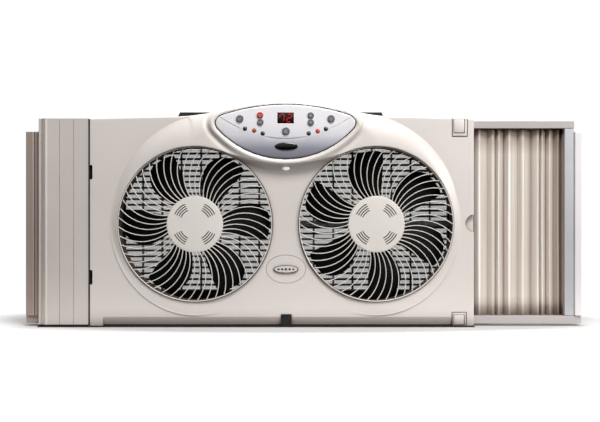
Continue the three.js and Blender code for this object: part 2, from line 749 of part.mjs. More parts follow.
/** The rigid frame of an extender. `out` is +1 at the right-hand end and -1 at the left. */
function extenderFrame(side, out, { inner, outer, flange }) {
  const { front, back, low, high, rail, stile } = EXTENDER;
  const span = (a, b) => (a < b ? [a, b] : [b, a]);
  const depth = [front, back];
  const end = outer + out * flange;
  const topRail = block(span(inner, outer), depth, [high - rail, high]);
  const bottomRail = block(span(inner, end), depth, [low, low + rail]);
  const between = [low + rail + GAP, high - rail - GAP];
  const post = block(span(outer - out * stile, outer - out * GAP), depth, between);
  const wing = block(span(outer, end), [front - 3, back + 3], [low + rail + GAP, FLANGE_TOP]);
  return [
    piece(`${side}_top_rail`, topRail, MATERIAL.rail()),
    piece(`${side}_bottom_rail`, bottomRail, MATERIAL.rail()),
    piece(`${side}_stile`, post, MATERIAL.rail()),
    piece(`${side}_flange`, wing, MATERIAL.rail()),
  ];
}

function extenders() {
  const right = RIGHT_EXTENDER;
  const left = LEFT_EXTENDER;
  return [
    ...extenderFrame('right', 1, right),
    pleats('right_pleats', right.pleatFrom, right.outer - EXTENDER.stile - GAP, right.folds),
    ...extenderFrame('left', -1, left),
    pleats('left_pleats', left.outer + EXTENDER.stile + GAP, left.pleatFrom, left.folds),
  ];
}

// ---------------------------------------------------------------- the whole fan

const fan = new THREE.Group();
fan.add(frontHousing(), rearHousing(), ...housingScrews());
for (const side of ['left', 'right']) {
  fan.add(frontGrille(side), rearGrille(side), rearScreen(side));
  fan.add(impeller(side), spindle(side), motor(side), motorBracket(side));
}
fan.add(controlFascia(), displayModule(), infraredWindow(), controlBoard(), powerBoard());
for (const [name, [x, z, radius]] of Object.entries(BUTTON_SPOTS)) fan.add(pushButton(name, x, z, radius));
for (const [name, [x, z]] of Object.entries(LED_SPOTS)) fan.add(lamp(name, x, z));
fan.add(badge(), carryHandle(), cordGland());
fan.add(cornerClip('corner_clip_bottom', GAP, CLIP.height));
fan.add(cornerClip('corner_clip_top', BODY.top - CLIP.drop, BODY.top));
fan.add(extensionPanel());
for (const [name, z] of Object.entries(HOOK_HEIGHTS)) fan.add(panelHook(name, z));
fan.add(...extenders());

export default fan;
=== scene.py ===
"""The looks of a twin window fan: two caged fans in one moulded body, an eye-shaped control head, a clip-on
side panel and a slide-out extender at each end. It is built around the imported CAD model.

Shapes are worked out in millimetres, in the part's frame: +X right, +Y back, +Z up. Objects are in metres.
"""

import json
import math
import random

import bmesh
import bpy
import numpy as np
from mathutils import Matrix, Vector, kdtree
from mathutils.geometry import delaunay_2d_cdt


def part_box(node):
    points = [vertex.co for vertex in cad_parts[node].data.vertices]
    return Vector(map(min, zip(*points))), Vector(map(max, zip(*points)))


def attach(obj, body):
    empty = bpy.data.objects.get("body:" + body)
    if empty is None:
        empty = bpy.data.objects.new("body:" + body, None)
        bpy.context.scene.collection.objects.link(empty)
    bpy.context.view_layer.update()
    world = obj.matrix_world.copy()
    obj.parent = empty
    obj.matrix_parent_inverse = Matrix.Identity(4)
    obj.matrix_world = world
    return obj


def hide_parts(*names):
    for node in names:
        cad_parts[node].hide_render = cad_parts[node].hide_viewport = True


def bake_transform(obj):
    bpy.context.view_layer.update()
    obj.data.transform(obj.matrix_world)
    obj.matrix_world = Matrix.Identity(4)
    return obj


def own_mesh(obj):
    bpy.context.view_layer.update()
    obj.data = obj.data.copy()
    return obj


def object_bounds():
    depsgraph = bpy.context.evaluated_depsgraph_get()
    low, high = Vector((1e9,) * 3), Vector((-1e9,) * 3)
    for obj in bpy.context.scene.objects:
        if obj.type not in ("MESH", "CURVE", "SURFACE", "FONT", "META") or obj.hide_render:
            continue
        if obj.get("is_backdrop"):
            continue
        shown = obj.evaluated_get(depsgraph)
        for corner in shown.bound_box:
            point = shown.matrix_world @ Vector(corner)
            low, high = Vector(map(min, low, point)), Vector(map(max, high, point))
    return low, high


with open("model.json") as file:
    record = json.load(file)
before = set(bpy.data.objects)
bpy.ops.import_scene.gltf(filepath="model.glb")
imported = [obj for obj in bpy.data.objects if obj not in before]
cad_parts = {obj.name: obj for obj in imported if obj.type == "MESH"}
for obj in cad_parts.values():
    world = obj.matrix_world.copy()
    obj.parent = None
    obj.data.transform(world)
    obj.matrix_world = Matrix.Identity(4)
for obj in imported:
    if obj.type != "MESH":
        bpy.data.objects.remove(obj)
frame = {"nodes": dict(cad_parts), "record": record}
cad_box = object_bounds()

MM = 0.001
RECORD = frame["record"]
BODY_OF = {node: body for body, nodes in RECORD["behaviour"]["bodies"].items() for node in nodes}
SLOT_OF = {part["node"]: part["material_slot"] for part in RECORD["subparts"]}


def corners(node):
    """Lowest and highest corners of a CAD node, in millimetres."""
    low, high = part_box(node)
    return np.array(low) / MM, np.array(high) / MM


def centre(node):
    """The middle of a CAD node's box, in millimetres."""
    low, high = corners(node)
    return (low + high) / 2


# ---------------- driving dimensions

BODY_LOW, BODY_HIGH = corners("rear_housing")
LEFT, RIGHT = BODY_LOW[0], BODY_HIGH[0]
CROWN = 4.5  # rise of the top edge at its middle
CORNER_HEIGHT = BODY_HIGH[2] - CROWN
SPLIT = BODY_LOW[1]
BACK = BODY_HIGH[1]
FACE = -45.0  # the flat front face
GAP = 0.3
WALL = 2.0

FAN_X, _, FAN_Z = centre("spindle_right")
FANS = {"left": -FAN_X, "right": FAN_X}
OPENING = 118.5  # radius of the two openings
COLLAR_BACK = -12.0
CORNER_RADIUS = 3.0
TOP_STEP = 2.0  # distance between the points of the top edge
BAY_FRONT, BAY_BACK = -34.3, -13.7  # the slot in the right-hand wall for the extender

# The eye-shaped control panel: two arcs that meet in rounded tips.
EYE_LOW_ARC = {"z": 394.8, "radius": 139.2, "half_width": 101.0}
EYE_HIGH_ARC = {"z": 33.6, "radius": 305.5, "half_width": 98.0}
EYE_TIP = (115.0, 313.0)
HEAD_TOP = 346.0
HEAD_CURVE = 0.00158  # how fast the head's outline falls off, per square millimetre
HEAD_BLEND = 8.0  # how softly the head's outline runs into the body's top edge
HEAD_FOOT = (130.0, 170.0)  # between these distances from the middle the head's outline fades out
HEAD_FLOOR = 240.0  # height above which the control panel's rim is raised
HEAD_HEIGHT = 12.4  # how far the head stands in front of the face
LIP_LOW, LIP_RISE, LIP_REACH = 248.8, 26.5, 137.0  # the head's lower lip: middle, rise and half width
UNDERCUT = 14.0  # height of the hollow under the head's lip

# The crease around each opening. Its radius grows towards the head and a little towards the foot.
CREASE_RADIUS, UPPER_FLARE, LOWER_FLARE = 131.0, 33.0, 10.0
CREASE_TURN = 86.0  # the angle above the outward side at which the crease ends in the head

CHIN_LEFT, CHIN_RIGHT, CHIN_TOP, CHIN_DEPTH = -279.5, 256.3, 15.0, 5.0
FOOT_SHADOW = 3.2  # height of the black strip of painted shadow along the foot
NOTCH_Z, NOTCH_RADIUS, NOTCH_DEPTH = 158.0, 13.5, 6.0
BADGE_OVAL = (30.4, 21.6)

GRID_ROOM = 0.55  # share of a grid's step that it keeps free around lines
ROW_RISE = 0.866  # height of a triangle whose sides are 1
SHELL_SMOOTH = 32.0  # edges of the front shell above this angle, in degrees, are sharp


# ---------------- curves and distances


def smoothstep(t):
    t = np.clip(t, 0.0, 1.0)
    return t * t * (3.0 - 2.0 * t)


def soft_max(a, b, blend):
    return 0.5 * (a + b + np.sqrt((a - b) ** 2 + blend**2))


def bump(distance, width):
    return np.exp(-((distance / width) ** 2))


def ellipse(x, z, half_width, half_height, count):
    turn = np.arange(count) * 2 * math.pi / count
    return np.column_stack([x + half_width * np.cos(turn), z + half_height * np.sin(turn)])


def circle(x, z, radius, count):
    return ellipse(x, z, radius, radius, count)


def ease(value, start, end):
    """Rises smoothly from 0 to 1 as a value goes from start to end."""
    return smoothstep((value - start) / (end - start))


def rectangle(left, right, low, high, step=4.0):
    """The outline of a rectangle, with a point every step or so."""
    across = max(1, round((right - left) / step))
    up = max(1, round((high - low) / step))
    points = [(left + (right - left) * i / across, low) for i in range(across)]
    points += [(right, low + (high - low) * i / up) for i in range(up)]
    points += [(right - (right - left) * i / across, high) for i in range(across)]
    points += [(left, high - (high - low) * i / up) for i in range(up)]
    return np.array(points)


def distance_to(line, x, z, closed=False):
    """Distance from each point (x, z) to a line of points."""
    ends = np.roll(line, -1, axis=0) if closed else line[1:]
    best = np.full(np.shape(x), 1e9)
    for (ax, az), (bx, bz) in zip(line, ends):
        dx, dz = bx - ax, bz - az
        length = max(dx * dx + dz * dz, 1e-12)
        t = np.clip(((x - ax) * dx + (z - az) * dz) / length, 0.0, 1.0)
        best = np.minimum(best, np.hypot(x - ax - t * dx, z - az - t * dz))
    return best


def inside(outline, x, z):
    """Which points (x, z) lie inside a closed outline."""
    result = np.zeros(np.shape(x), bool)
    for (ax, az), (bx, bz) in zip(outline, np.roll(outline, -1, axis=0)):
        if az == bz:
            continue
        crosses = (az > z) != (bz > z)
        result ^= crosses & (x < ax + (z - az) * (bx - ax) / (bz - az))
    return result


def fillet(distance, radius):
    """How far a rounded edge has fallen back at a distance inside it."""
    d = np.clip(distance, 0.0, radius)
    return radius - np.sqrt(np.maximum(radius**2 - (radius - d) ** 2, 0.0))


def body_top(x):
    """Height of the body's crowned top edge."""
    middle = (LEFT + RIGHT) / 2
    across = (x - middle) / (RIGHT - middle)
    return CORNER_HEIGHT + CROWN * (1 - across**2)


def four_corners(left, right, low, high):
    return np.array([(left, low), (right, low), (right, high), (left, high)])


def top_line(x):
    """Height of the front shell's outline, where the head rises out of the body's top edge."""
    body = body_top(x)
    rise = soft_max(HEAD_TOP - HEAD_CURVE * x**2, body, HEAD_BLEND) - body
    return body + rise * (1 - ease(np.abs(x), *HEAD_FOOT))


def lip_height(x):
    """Height of the head's lower lip."""
    return LIP_LOW + LIP_RISE * smoothstep((np.abs(x) / LIP_REACH) ** 1.25)


def crease_radius(angle):
    """Radius of the crease around an opening, by the angle in degrees above the outward side."""
    flare = UPPER_FLARE * np.clip((angle - 20.0) / 66.0, 0.0, 1.0) ** 1.3
    return CREASE_RADIUS + flare + LOWER_FLARE * ease(-angle, 10.0, 90.0)


def eye_arc(arc, side, margin, step):
    """Points along one arc of the control panel: the low one with side -1, or the high one with side 1."""
    half = math.asin(arc["half_width"] / arc["radius"])
    radius = arc["radius"] + margin
    turn = np.linspace(side * half, -side * half, round(2 * half * radius / step))
    return np.column_stack([radius * np.sin(turn), arc["z"] + side * radius * np.cos(turn)])


def eye_outline(margin=0.0, step=2.5):
    """The outline of the control panel, grown by a margin."""
    low = eye_arc(EYE_LOW_ARC, -1, margin, step)
    high = eye_arc(EYE_HIGH_ARC, 1, margin, step)
    tip = np.array([EYE_TIP[0] + 1.6 * margin, EYE_TIP[1]])

    def round_tip(start, end, peak):
        t = np.linspace(0, 1, 14)[1:-1, None]
        return (1 - t) ** 2 * start + 2 * t * (1 - t) * peak + t**2 * end

    right = round_tip(low[-1], high[0], tip)
    left = round_tip(high[-1], low[0], tip * [-1, 1])
    return np.vstack([low, right, high, left])


def body_outline(inset=0.0, step=3.0):
    """The front shell's outline, moved inwards, from the lower left corner and along the foot."""
    radius = CORNER_RADIUS
    left, right, low = LEFT + inset, RIGHT - inset, inset
    span = right - left - 2 * radius
    height = float(top_line(np.array(right))) - inset - low - 2 * radius
    across, over = round(span / step), round(span / TOP_STEP)
    up = round((CORNER_HEIGHT - 2 * radius) / step)

    def corner(x, start):
        """The x and the sine of five points around a corner."""
        turns = [math.radians(start + 22.5 * i) for i in range(5)]
        return [(x + radius * math.cos(turn), math.sin(turn)) for turn in turns]

    def foot(x, sine):
        return x, low + radius + radius * sine

    def top(x, sine=1.0):
        return x, float(top_line(x)) - inset - radius * (1 - sine)

    points = [foot(*spot) for spot in corner(left + radius, 180)]
    points += [(left + radius + span * i / across, low) for i in range(1, across)]
    points += [foot(*spot) for spot in corner(right - radius, 270)]
    points += [(right, low + radius + height * i / up) for i in range(1, up)]
    points += [top(*spot) for spot in corner(right - radius, 0)]
    points += [top(right - radius - span * i / over) for i in range(1, over)]
    points += [top(*spot) for spot in corner(left + radius, 90)]
    points += [(left, low + radius + height * (1 - i / up)) for i in range(1, up)]
    return np.array(points)


def hex_grid(left, right, low, high, step):
    """Points in rows, each row shifted by half a step."""
    rise = step * ROW_RISE
    points = []
    for row in range(int((high - low) / rise) + 1):
        shift = step / 2 if row % 2 else 0.0
        points += [(left + shift + step * i, low + row * rise) for i in range(int((right - left) / step) + 1)]
    return points


def gather_edges(curves):
    """All points of (points, closed) curves, and the edges between them."""
    points, edges = [], []
    for curve, closed in curves:
        first = len(points)
        points += [(float(x), float(z)) for x, z in curve]
        count = len(curve)
        edges += [(first + i, first + i + 1) for i in range(count - 1)]
        if closed:
            edges.append((first + count - 1, first))
    return points, edges


def fill_in(points, grids):
    """Grid points that don't come too near to the given points. An earlier grid keeps its place to itself."""
    tree = kdtree.KDTree(len(points))
    for i, (x, z) in enumerate(points):
        tree.insert((x, z, 0.0), i)
    tree.balance()
    found, taken = [], []
    for left, right, low, high, step in grids:
        for x, z in hex_grid(left, right, low, high, step):
            if any(a < x < b and c < z < d for a, b, c, d in taken):
                continue
            if tree.find((x, z, 0.0))[2] > GRID_ROOM * step:
                found.append((x, z))
        taken.append((left, right, low, high))
    return found


def triangulate(outline, holes=(), lines=(), grids=()):
    """Triangles that fill an outline around its holes and follow the given lines.

    Lines are (points, closed) pairs. Grids are (left, right, low, high, step). Returns points and triangles.
    """
    points, edges = gather_edges([(outline, True), *((hole, True) for hole in holes), *lines])
    points += fill_in(points, grids)
    found = delaunay_2d_cdt([Vector(point) for point in points], edges, [], 0, 1e-5, False)
    points = np.array([tuple(v) for v in found[0]])
    triangles = np.array([tuple(face) for face in found[2]])
    middles = points[triangles].mean(axis=1)
    keep = inside(np.asarray(outline), middles[:, 0], middles[:, 1])
    for hole in holes:
        keep &= ~inside(np.asarray(hole), middles[:, 0], middles[:, 1])
    return points, triangles[keep]


# ---------------- solids, as (vertices, faces)


def around(profile, x, z, turn):
    """A profile of (radius, y) points at an angle about a line along Y."""
    return [(x + radius * math.cos(turn), y, z + radius * math.sin(turn)) for radius, y in profile]


def lathe(profile, x, z, count=48):
    """A profile of (radius, y) points from axis to axis, turned about a line along Y."""
    turns = [2 * math.pi * i / count for i in range(count)]
    vertices, rings = [], []
    for spot in profile:
        first, size = len(vertices), count if spot[0] else 1
        rings.append([first + i % size for i in range(count)])
        vertices += [around([spot], x, z, turn)[0] for turn in turns[:size]]
    faces = []
    for here, there in zip(rings, rings[1:]):
        for i in range(count):
            corner = [here[i - 1], here[i], there[i], there[i - 1]]
            faces.append([v for k, v in enumerate(corner) if v not in corner[:k]])
    return vertices, faces


def loft(sections, closed=False):
    """Sections of the same size joined in a row, with caps at the ends unless the row is closed."""
    size = len(sections[0])
    rows = [list(range(i * size, (i + 1) * size)) for i in range(len(sections))]
    faces = [] if closed else [rows[0][::-1], rows[-1]]
    following = rows[1:] + rows[:1] if closed else rows[1:]
    for here, there in zip(rows, following):
        faces += [[here[k - 1], here[k], there[k], there[k - 1]] for k in range(size)]
    return [point for section in sections for point in section], faces


def ring(profile, x, z, count=96):
    """A closed loop of (radius, y) points turned about a line along Y."""
    return loft([around(profile, x, z, 2 * math.pi * i / count) for i in range(count)], closed=True)


def prism(outline, front, back):
    """An outline of (x, z) points as a solid from front to back."""
    count = len(outline)
    vertices = [(x, front, z) for x, z in outline] + [(x, back, z) for x, z in outline]
    faces = [list(range(count)), list(range(2 * count - 1, count - 1, -1))]
    for i in range(count):
        j = (i + 1) % count
        faces.append([j, i, count + i, count + j])
    return vertices, faces


def upright(outline, low, high):
    """An outline of (x, y) points as a solid from low to high."""
    vertices, faces = prism(outline, low, high)
    return [(x, y, z) for x, z, y in vertices], faces


def rod(start, end, radius, sides=8, depth=None):
    """A straight bar with an elliptical section: radius across and depth along Y."""
    start, end = Vector(start), Vector(end)
    along = (end - start).normalized()
    across = along.cross(Vector((0, 1, 0))).normalized() * radius
    depth = Vector((0, radius if depth is None else depth, 0))
    turns = [2 * math.pi * (i + 0.5) / sides for i in range(sides)]
    spokes = [across * math.cos(turn) + depth * math.sin(turn) for turn in turns]
    return loft([[tuple(point + spoke) for spoke in spokes] for point in (start, end)])


def plate(outline, holes, front, back, lines=(), grids=()):
    """A closed plate. The Y of its front and of its back is a number or a function of (x, z)."""
    points, triangles = triangulate(outline, holes, lines, grids)
    used = np.unique(triangles)
    number = {int(old): new for new, old in enumerate(used)}
    triangles = [[number[int(v)] for v in triangle] for triangle in triangles]
    x, z = points[used].T
    vertices = []
    for face in (front, back):
        y = face(x, z) if callable(face) else face
        vertices += zip(x, np.broadcast_to(y, x.shape), z)
    count = len(used)
    faces = triangles + [[v + count for v in reversed(t)] for t in triangles]
    directed = {(t[i], t[(i + 1) % 3]) for t in triangles for i in range(3)}
    faces += [[b, a, a + count, b + count] for a, b in directed if (b, a) not in directed]
    return vertices, faces


def joined(parts):
    vertices, faces = [], []
    for part_vertices, part_faces in parts:
        first = len(vertices)
        vertices += list(part_vertices)
        faces += [[first + v for v in face] for face in part_faces]
    return vertices, faces


# ---------------- pieces


def bevel_sharp(bm, width, segments, angle=30.0):
    """Rounds every edge that is sharper than the angle."""
    sharp = [e for e in bm.edges if len(e.link_faces) == 2 and e.calc_face_angle(0.0) > math.radians(angle)]
    bmesh.ops.bevel(
        bm,
        geom=sharp,
        offset=width * MM,
        offset_type="OFFSET",
        segments=segments,
        profile=0.5,
        affect="EDGES",
        clamp_overlap=True,
    )


def finish_mesh(bm, name, smooth_angle):
    mesh = bpy.data.meshes.new(name)
    bm.to_mesh(mesh)
    bm.free()
    mesh.polygons.foreach_set("use_smooth", [True] * len(mesh.polygons))
    mesh.set_sharp_from_angle(angle=math.radians(smooth_angle))
    return mesh


def place(name, mesh, material):
    """Puts a mesh into the scene as an object with one material."""
    mesh.materials.clear()
    mesh.materials.append(material)
    made = bpy.data.objects.new(name, mesh)
    bpy.context.scene.collection.objects.link(made)
    return made


def show(name, mesh, material, body, nodes=()):
    """Makes an object of a mesh that rides on a body and stands for the given CAD nodes."""
    piece = place(name, mesh, material)
    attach(piece, body)
    if nodes:
        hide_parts(*nodes)
    return piece


def add_piece(name, parts, material, body="housing", nodes=(), bevel=None, smooth_angle=35.0):
    """A piece made of one or more closed solids."""
    vertices, faces = joined(parts)
    bm = bmesh.new()
    made = [bm.verts.new((x * MM, y * MM, z * MM)) for x, y, z in vertices]
    for face in faces:
        bm.faces.new([made[v] for v in face])
    bmesh.ops.recalc_face_normals(bm, faces=bm.faces)
    if bevel:
        bevel_sharp(bm, *bevel)
    return show(name, finish_mesh(bm, name, smooth_angle), material, body, nodes)


def finished_copy(node, material, bevel=0.6, segments=2, name=None):
    """A finer version of a CAD node, with its flat faces whole and its edges rounded."""
    bm = bmesh.new()
    bm.from_mesh(frame["nodes"][node].data)
    bmesh.ops.remove_doubles(bm, verts=bm.verts, dist=0.005 * MM)
    bmesh.ops.dissolve_limit(bm, angle_limit=math.radians(1.0), verts=bm.verts, edges=bm.edges)
    bevel_sharp(bm, bevel, segments)
    bmesh.ops.recalc_face_normals(bm, faces=bm.faces)
    name = name or node + "_shell"
    piece = show(name, finish_mesh(bm, name, 40.0), material, BODY_OF[node], (node,))
    even = piece.modifiers.new("even_normals", "WEIGHTED_NORMAL")
    even.keep_sharp = True
    even.weight = 100
    apply_modifiers(piece)


# ---------------- materials


def linear(red, green, blue):
    """An sRGB colour, 0 to 255, as linear RGBA."""
    values = []
    for value in (red, green, blue):
        value /= 255.0
        values.append(value / 12.92 if value <= 0.04045 else ((value + 0.055) / 1.055) ** 2.4)
    return (*values, 1.0)


class Graph:
    """A node tree that is built node by node."""

    def __init__(self, tree):
        self.tree = tree

    def node(self, kind, **settings):
        made = self.tree.nodes.new(kind)
        for key, value in settings.items():
            setattr(made, key, value)
        return made

    def link(self, source, target):
        self.tree.links.new(source, target)

    def span(self, source, low, high, start=0.3, end=0.7):
        """A value from start to end, spread over low to high."""
        made = self.node("ShaderNodeMapRange")
        for key, value in (("From Min", start), ("From Max", end), ("To Min", low), ("To Max", high)):
            made.inputs[key].default_value = value
        self.link(source, made.inputs["Value"])
        return made.outputs["Result"]


class Recipe(Graph):
    """A Principled material whose colour, roughness and bump come from noise in the part's own frame."""

    def __init__(self, name, roughness=0.45, metallic=0.0, specular=0.5, coat=0.0, coat_roughness=0.1):
        self.material = bpy.data.materials.new(name)
        self.material.use_nodes = True
        super().__init__(self.material.node_tree)
        self.inputs = self.tree.nodes["Principled BSDF"].inputs
        self.inputs["Roughness"].default_value = roughness
        self.inputs["Metallic"].default_value = metallic
        self.inputs["Specular IOR Level"].default_value = specular
        self.inputs["Coat Weight"].default_value = coat
        self.inputs["Coat Roughness"].default_value = coat_roughness
        self.place = self.node("ShaderNodeTexCoord").outputs["Object"]

    def noise(self, scale, detail=3.0, stretch=(1, 1, 1)):
        """Noise between 0 and 1. Scale is in grains per metre."""
        mapping = self.node("ShaderNodeMapping")
        mapping.inputs["Scale"].default_value = stretch
        self.link(self.place, mapping.inputs["Vector"])
        made = self.node("ShaderNodeTexNoise")
        made.inputs["Scale"].default_value = scale
        made.inputs["Detail"].default_value = detail
        self.link(mapping.outputs["Vector"], made.inputs["Vector"])
        return made.outputs["Fac"]

    def ramp(self, source, *stops):
        """Colours by a value: stops are (position, colour)."""
        made = self.node("ShaderNodeValToRGB")
        elements = made.color_ramp.elements
        while len(elements) < len(stops):
            elements.new(0.5)
        for element, (position, colour) in zip(elements, stops):
            element.position = position
            element.color = colour
        self.link(source, made.inputs["Fac"])
        return made.outputs["Color"]

    def along(self, axis):
        """The object coordinate along one axis, in metres."""
        split = self.node("ShaderNodeSeparateXYZ")
        self.link(self.place, split.inputs["Vector"])
        return split.outputs[axis]

    def mix(self, factor, first, second, mode="MIX"):
        made = self.node("ShaderNodeMix", data_type="RGBA", blend_type=mode)
        for key, value in (("Factor", factor), ("A", first), ("B", second)):
            if isinstance(value, (float, tuple)):
                made.inputs[key].default_value = value
            else:
                self.link(value, made.inputs[key])
        return made.outputs["Result"]

    def painted_hollow_shade(self, base):
        """Painted shade: a warm brown darkening where a surface is closed in by others."""
        # painted shade: brown is multiplied into the colour where ambient occlusion is high
        open_sky = self.node("ShaderNodeAmbientOcclusion", samples=8)
        open_sky.inputs["Distance"].default_value = HOLLOW_SHADE_REACH * MM
        closed = self.span(open_sky.outputs["AO"], 0.85, 0.0, 0.2, 0.95)
        return self.mix(closed, base, linear(118, 92, 76), "MULTIPLY")

    def colour(self, source):
        self.link(source, self.inputs["Base Color"])

    def roughness(self, low, high, scale=60.0, detail=5.0):
        """Gloss that changes in patches, between two roughnesses."""
        self.link(self.span(self.noise(scale, detail), low, high), self.inputs["Roughness"])

    def bump(self, source, height):
        """Grain of a height in millimetres."""
        made = self.node("ShaderNodeBump")
        made.inputs["Strength"].default_value = 1.0
        made.inputs["Distance"].default_value = height * MM
        self.link(source, made.inputs["Height"])
        self.link(made.outputs["Normal"], self.inputs["Normal"])


def shade_of(colour, share):
    return (colour[0] * share, colour[1] * share, colour[2] * share, 1.0)


def moulded(name, colour, rough=(0.38, 0.5), grain=2200.0, height=0.012, **settings):
    """Moulded plastic: a fine texture, uneven gloss and a faint drift in colour."""
    colour = linear(*colour)
    recipe = Recipe(name, **settings)
    cloud = recipe.noise(9.0, 4.0)
    recipe.colour(recipe.ramp(cloud, (0.3, shade_of(colour, 0.95)), (0.7, shade_of(colour, 1.025))))
    recipe.roughness(*rough)
    recipe.bump(recipe.noise(grain, 2.0), height)
    return recipe.material


def body_plastic():
    """Champagne white ABS, with painted warm shade in the hollows."""
    colour = linear(218, 211, 206)
    recipe = Recipe("body_plastic", coat=0.4, coat_roughness=0.3)
    cloud = recipe.noise(7.0, 4.0)
    base = recipe.ramp(cloud, (0.3, shade_of(colour, 0.97)), (0.7, shade_of(colour, 1.02)))
    recipe.colour(recipe.painted_hollow_shade(base))
    recipe.roughness(0.36, 0.46, 45.0)
    recipe.bump(recipe.noise(2400.0, 2.0), 0.01)
    return recipe.material


def silver_paint():
    """Metallic paint on the fascia, with painted light and shade by height: bright at the top, and darker
    down its lower band.
    """
    recipe = Recipe("silver_paint", metallic=0.12, coat=0.4, coat_roughness=0.15)
    # painted light and shade: dark and bluish at the fascia's foot, bright at its top
    tone = recipe.ramp(
        recipe.span(recipe.along("Z"), 0.0, 1.0, 0.257, 0.341),
        (0.0, linear(106, 106, 122)),
        (0.18, linear(142, 143, 158)),
        (0.42, linear(226, 226, 234)),
        (0.62, linear(240, 239, 242)),
        (1.0, linear(246, 246, 252)),
    )
    flake = recipe.noise(5200.0, 1.0)
    recipe.colour(recipe.mix(recipe.span(flake, 0.0, 0.12), tone, linear(255, 255, 255)))
    recipe.roughness(0.3, 0.42, 90.0, 4.0)
    recipe.bump(flake, 0.004)
    return recipe.material


def glossy_black(name, tint, rough=(0.03, 0.09)):
    return moulded(name, tint, rough, grain=300.0, height=0.002, coat=1.0, coat_roughness=0.03)


def glowing(name, colour, strength):
    """A lit lens, with a faint mottle in its light; it also serves for a glowing painted highlight."""
    colour = linear(*colour)
    recipe = Recipe(name, roughness=0.25)
    tone = recipe.ramp(recipe.noise(400.0, 2.0), (0.2, shade_of(colour, 0.8)), (0.8, colour))
    recipe.colour(tone)
    recipe.link(tone, recipe.inputs["Emission Color"])
    recipe.inputs["Emission Strength"].default_value = strength
    return recipe.material


def zinc():
    recipe = Recipe("zinc_plate", metallic=1.0)
    cloud = recipe.noise(160.0, 4.0)
    recipe.colour(recipe.ramp(cloud, (0.3, linear(138, 140, 146)), (0.7, linear(176, 178, 184))))
    recipe.roughness(0.28, 0.5, 500.0, 4.0)
    recipe.bump(recipe.noise(1200.0, 3.0), 0.01)
    return recipe.material


def film():
    """Thin folded vinyl with painted light: a painted highlight on its ridges, painted shade in its valleys,
    and painted shadow where it meets the frame.
    """
    low, high = (corner * MM for corner in corners("right_pleats"))
    front = low[1] + PLEAT_INSET * MM
    recipe = Recipe("pleat_film", specular=0.3)
    streak = recipe.noise(420.0, 3.0, stretch=(1, 1, 0.02))
    base = recipe.ramp(streak, (0.25, linear(196, 185, 175)), (0.75, linear(212, 203, 194)))
    depth, up, across = recipe.along("Y"), recipe.along("Z"), recipe.along("X")
    # painted shade: the film turns brown towards the back of each valley
    valley = recipe.span(depth, 0.0, 0.8, front + 0.55 * (high[1] - front), high[1] - 0.8 * MM)
    base = recipe.mix(valley, base, linear(122, 100, 85))
    # painted highlight: a near-white line along the front of each ridge
    painted_ridge_highlight = recipe.span(depth, 0.95, 0.0, front + 0.6 * MM, front + 1.8 * MM)
    base = recipe.mix(painted_ridge_highlight, base, linear(250, 247, 243))
    # painted shadow of the rails and the stile: darker towards the top, the foot and both ends
    edges = (
        (up, 0.8, high[2] - 40.0 * MM, high[2]),
        (up, 0.6, low[2] + 30.0 * MM, low[2]),
        (across, 0.7, high[0] - 20.0 * MM, high[0] - 8.0 * MM),
        (across, 0.6, low[0] + 18.0 * MM, low[0]),
    )
    for position, share, start, end in edges:
        painted_edge_shadow = recipe.span(position, 0.0, share, start, end)
        base = recipe.mix(painted_edge_shadow, base, linear(154, 130, 112), "MULTIPLY")
    recipe.colour(base)
    recipe.roughness(0.45, 0.6, 60.0, 4.0)
    recipe.bump(recipe.noise(1500.0, 2.0), 0.01)
    return recipe.material


def paper_floor():
    """White paper that fades into the white surroundings at its rim."""
    recipe = Recipe("studio_floor", roughness=0.85, specular=0.1)
    mapping = recipe.node("ShaderNodeMapping", vector_type="TEXTURE")
    mapping.inputs["Location"].default_value = (FLOOR_CENTRE[0] * MM, FLOOR_CENTRE[1] * MM, 0.0)
    mapping.inputs["Scale"].default_value = (FLOOR_OVAL[0] * MM, FLOOR_OVAL[1] * MM, 1.0)
    recipe.link(recipe.place, mapping.inputs["Vector"])
    middle = recipe.node("ShaderNodeTexGradient", gradient_type="SPHERICAL")
    recipe.link(mapping.outputs["Vector"], middle.inputs["Vector"])
    recipe.inputs["Emission Color"].default_value = WHITE
    glow = recipe.span(middle.outputs["Fac"], 0.6, 0.0, 0.0, 0.25)
    recipe.link(glow, recipe.inputs["Emission Strength"])
    cloud = recipe.noise(2.5, 3.0)
    recipe.colour(recipe.ramp(cloud, (0.3, linear(190, 190, 190)), (0.7, linear(194, 194, 194))))
    recipe.bump(recipe.noise(300.0, 2.0), 0.02)
    return recipe.material


FLOOR_CENTRE, FLOOR_OVAL = (30.0, 45.0), (620.0, 205.0)
WHITE = (1.0, 1.0, 1.0, 1.0)
# how far the painted shade in hollows reaches
HOLLOW_SHADE_REACH = 30.0  # how near other surfaces are that keep the light out of a hollow
PLEAT_INSET = 4.0  # how far behind the front of its space the film stays

BODY_PLASTIC = body_plastic()
GRILLE_PLASTIC = moulded("grille_plastic", (226, 221, 215), rough=(0.3, 0.4), coat=0.2)
PANEL_PLASTIC = moulded("panel_plastic", (207, 199, 193), rough=(0.36, 0.48), coat=0.2)
RAIL_PLASTIC = moulded("rail_plastic", (177, 171, 170), rough=(0.32, 0.45))
STILE_PLASTIC = moulded("stile_plastic", (190, 190, 194), rough=(0.3, 0.42), metallic=0.2)
FLANGE_PLASTIC = moulded("flange_plastic", (222, 220, 220), rough=(0.3, 0.42))
# painted shade: the left-hand extender's parts get this darker colour for the shade at that end, while the
# right-hand ones stay light
TAUPE_SHADE = moulded("taupe_painted_shade", (158, 143, 134), rough=(0.34, 0.46))
# painted highlight: a lighter copy of the taupe for the bead that catches the light
TAUPE_HIGHLIGHT = moulded("taupe_painted_highlight", (186, 170, 160), rough=(0.34, 0.46))
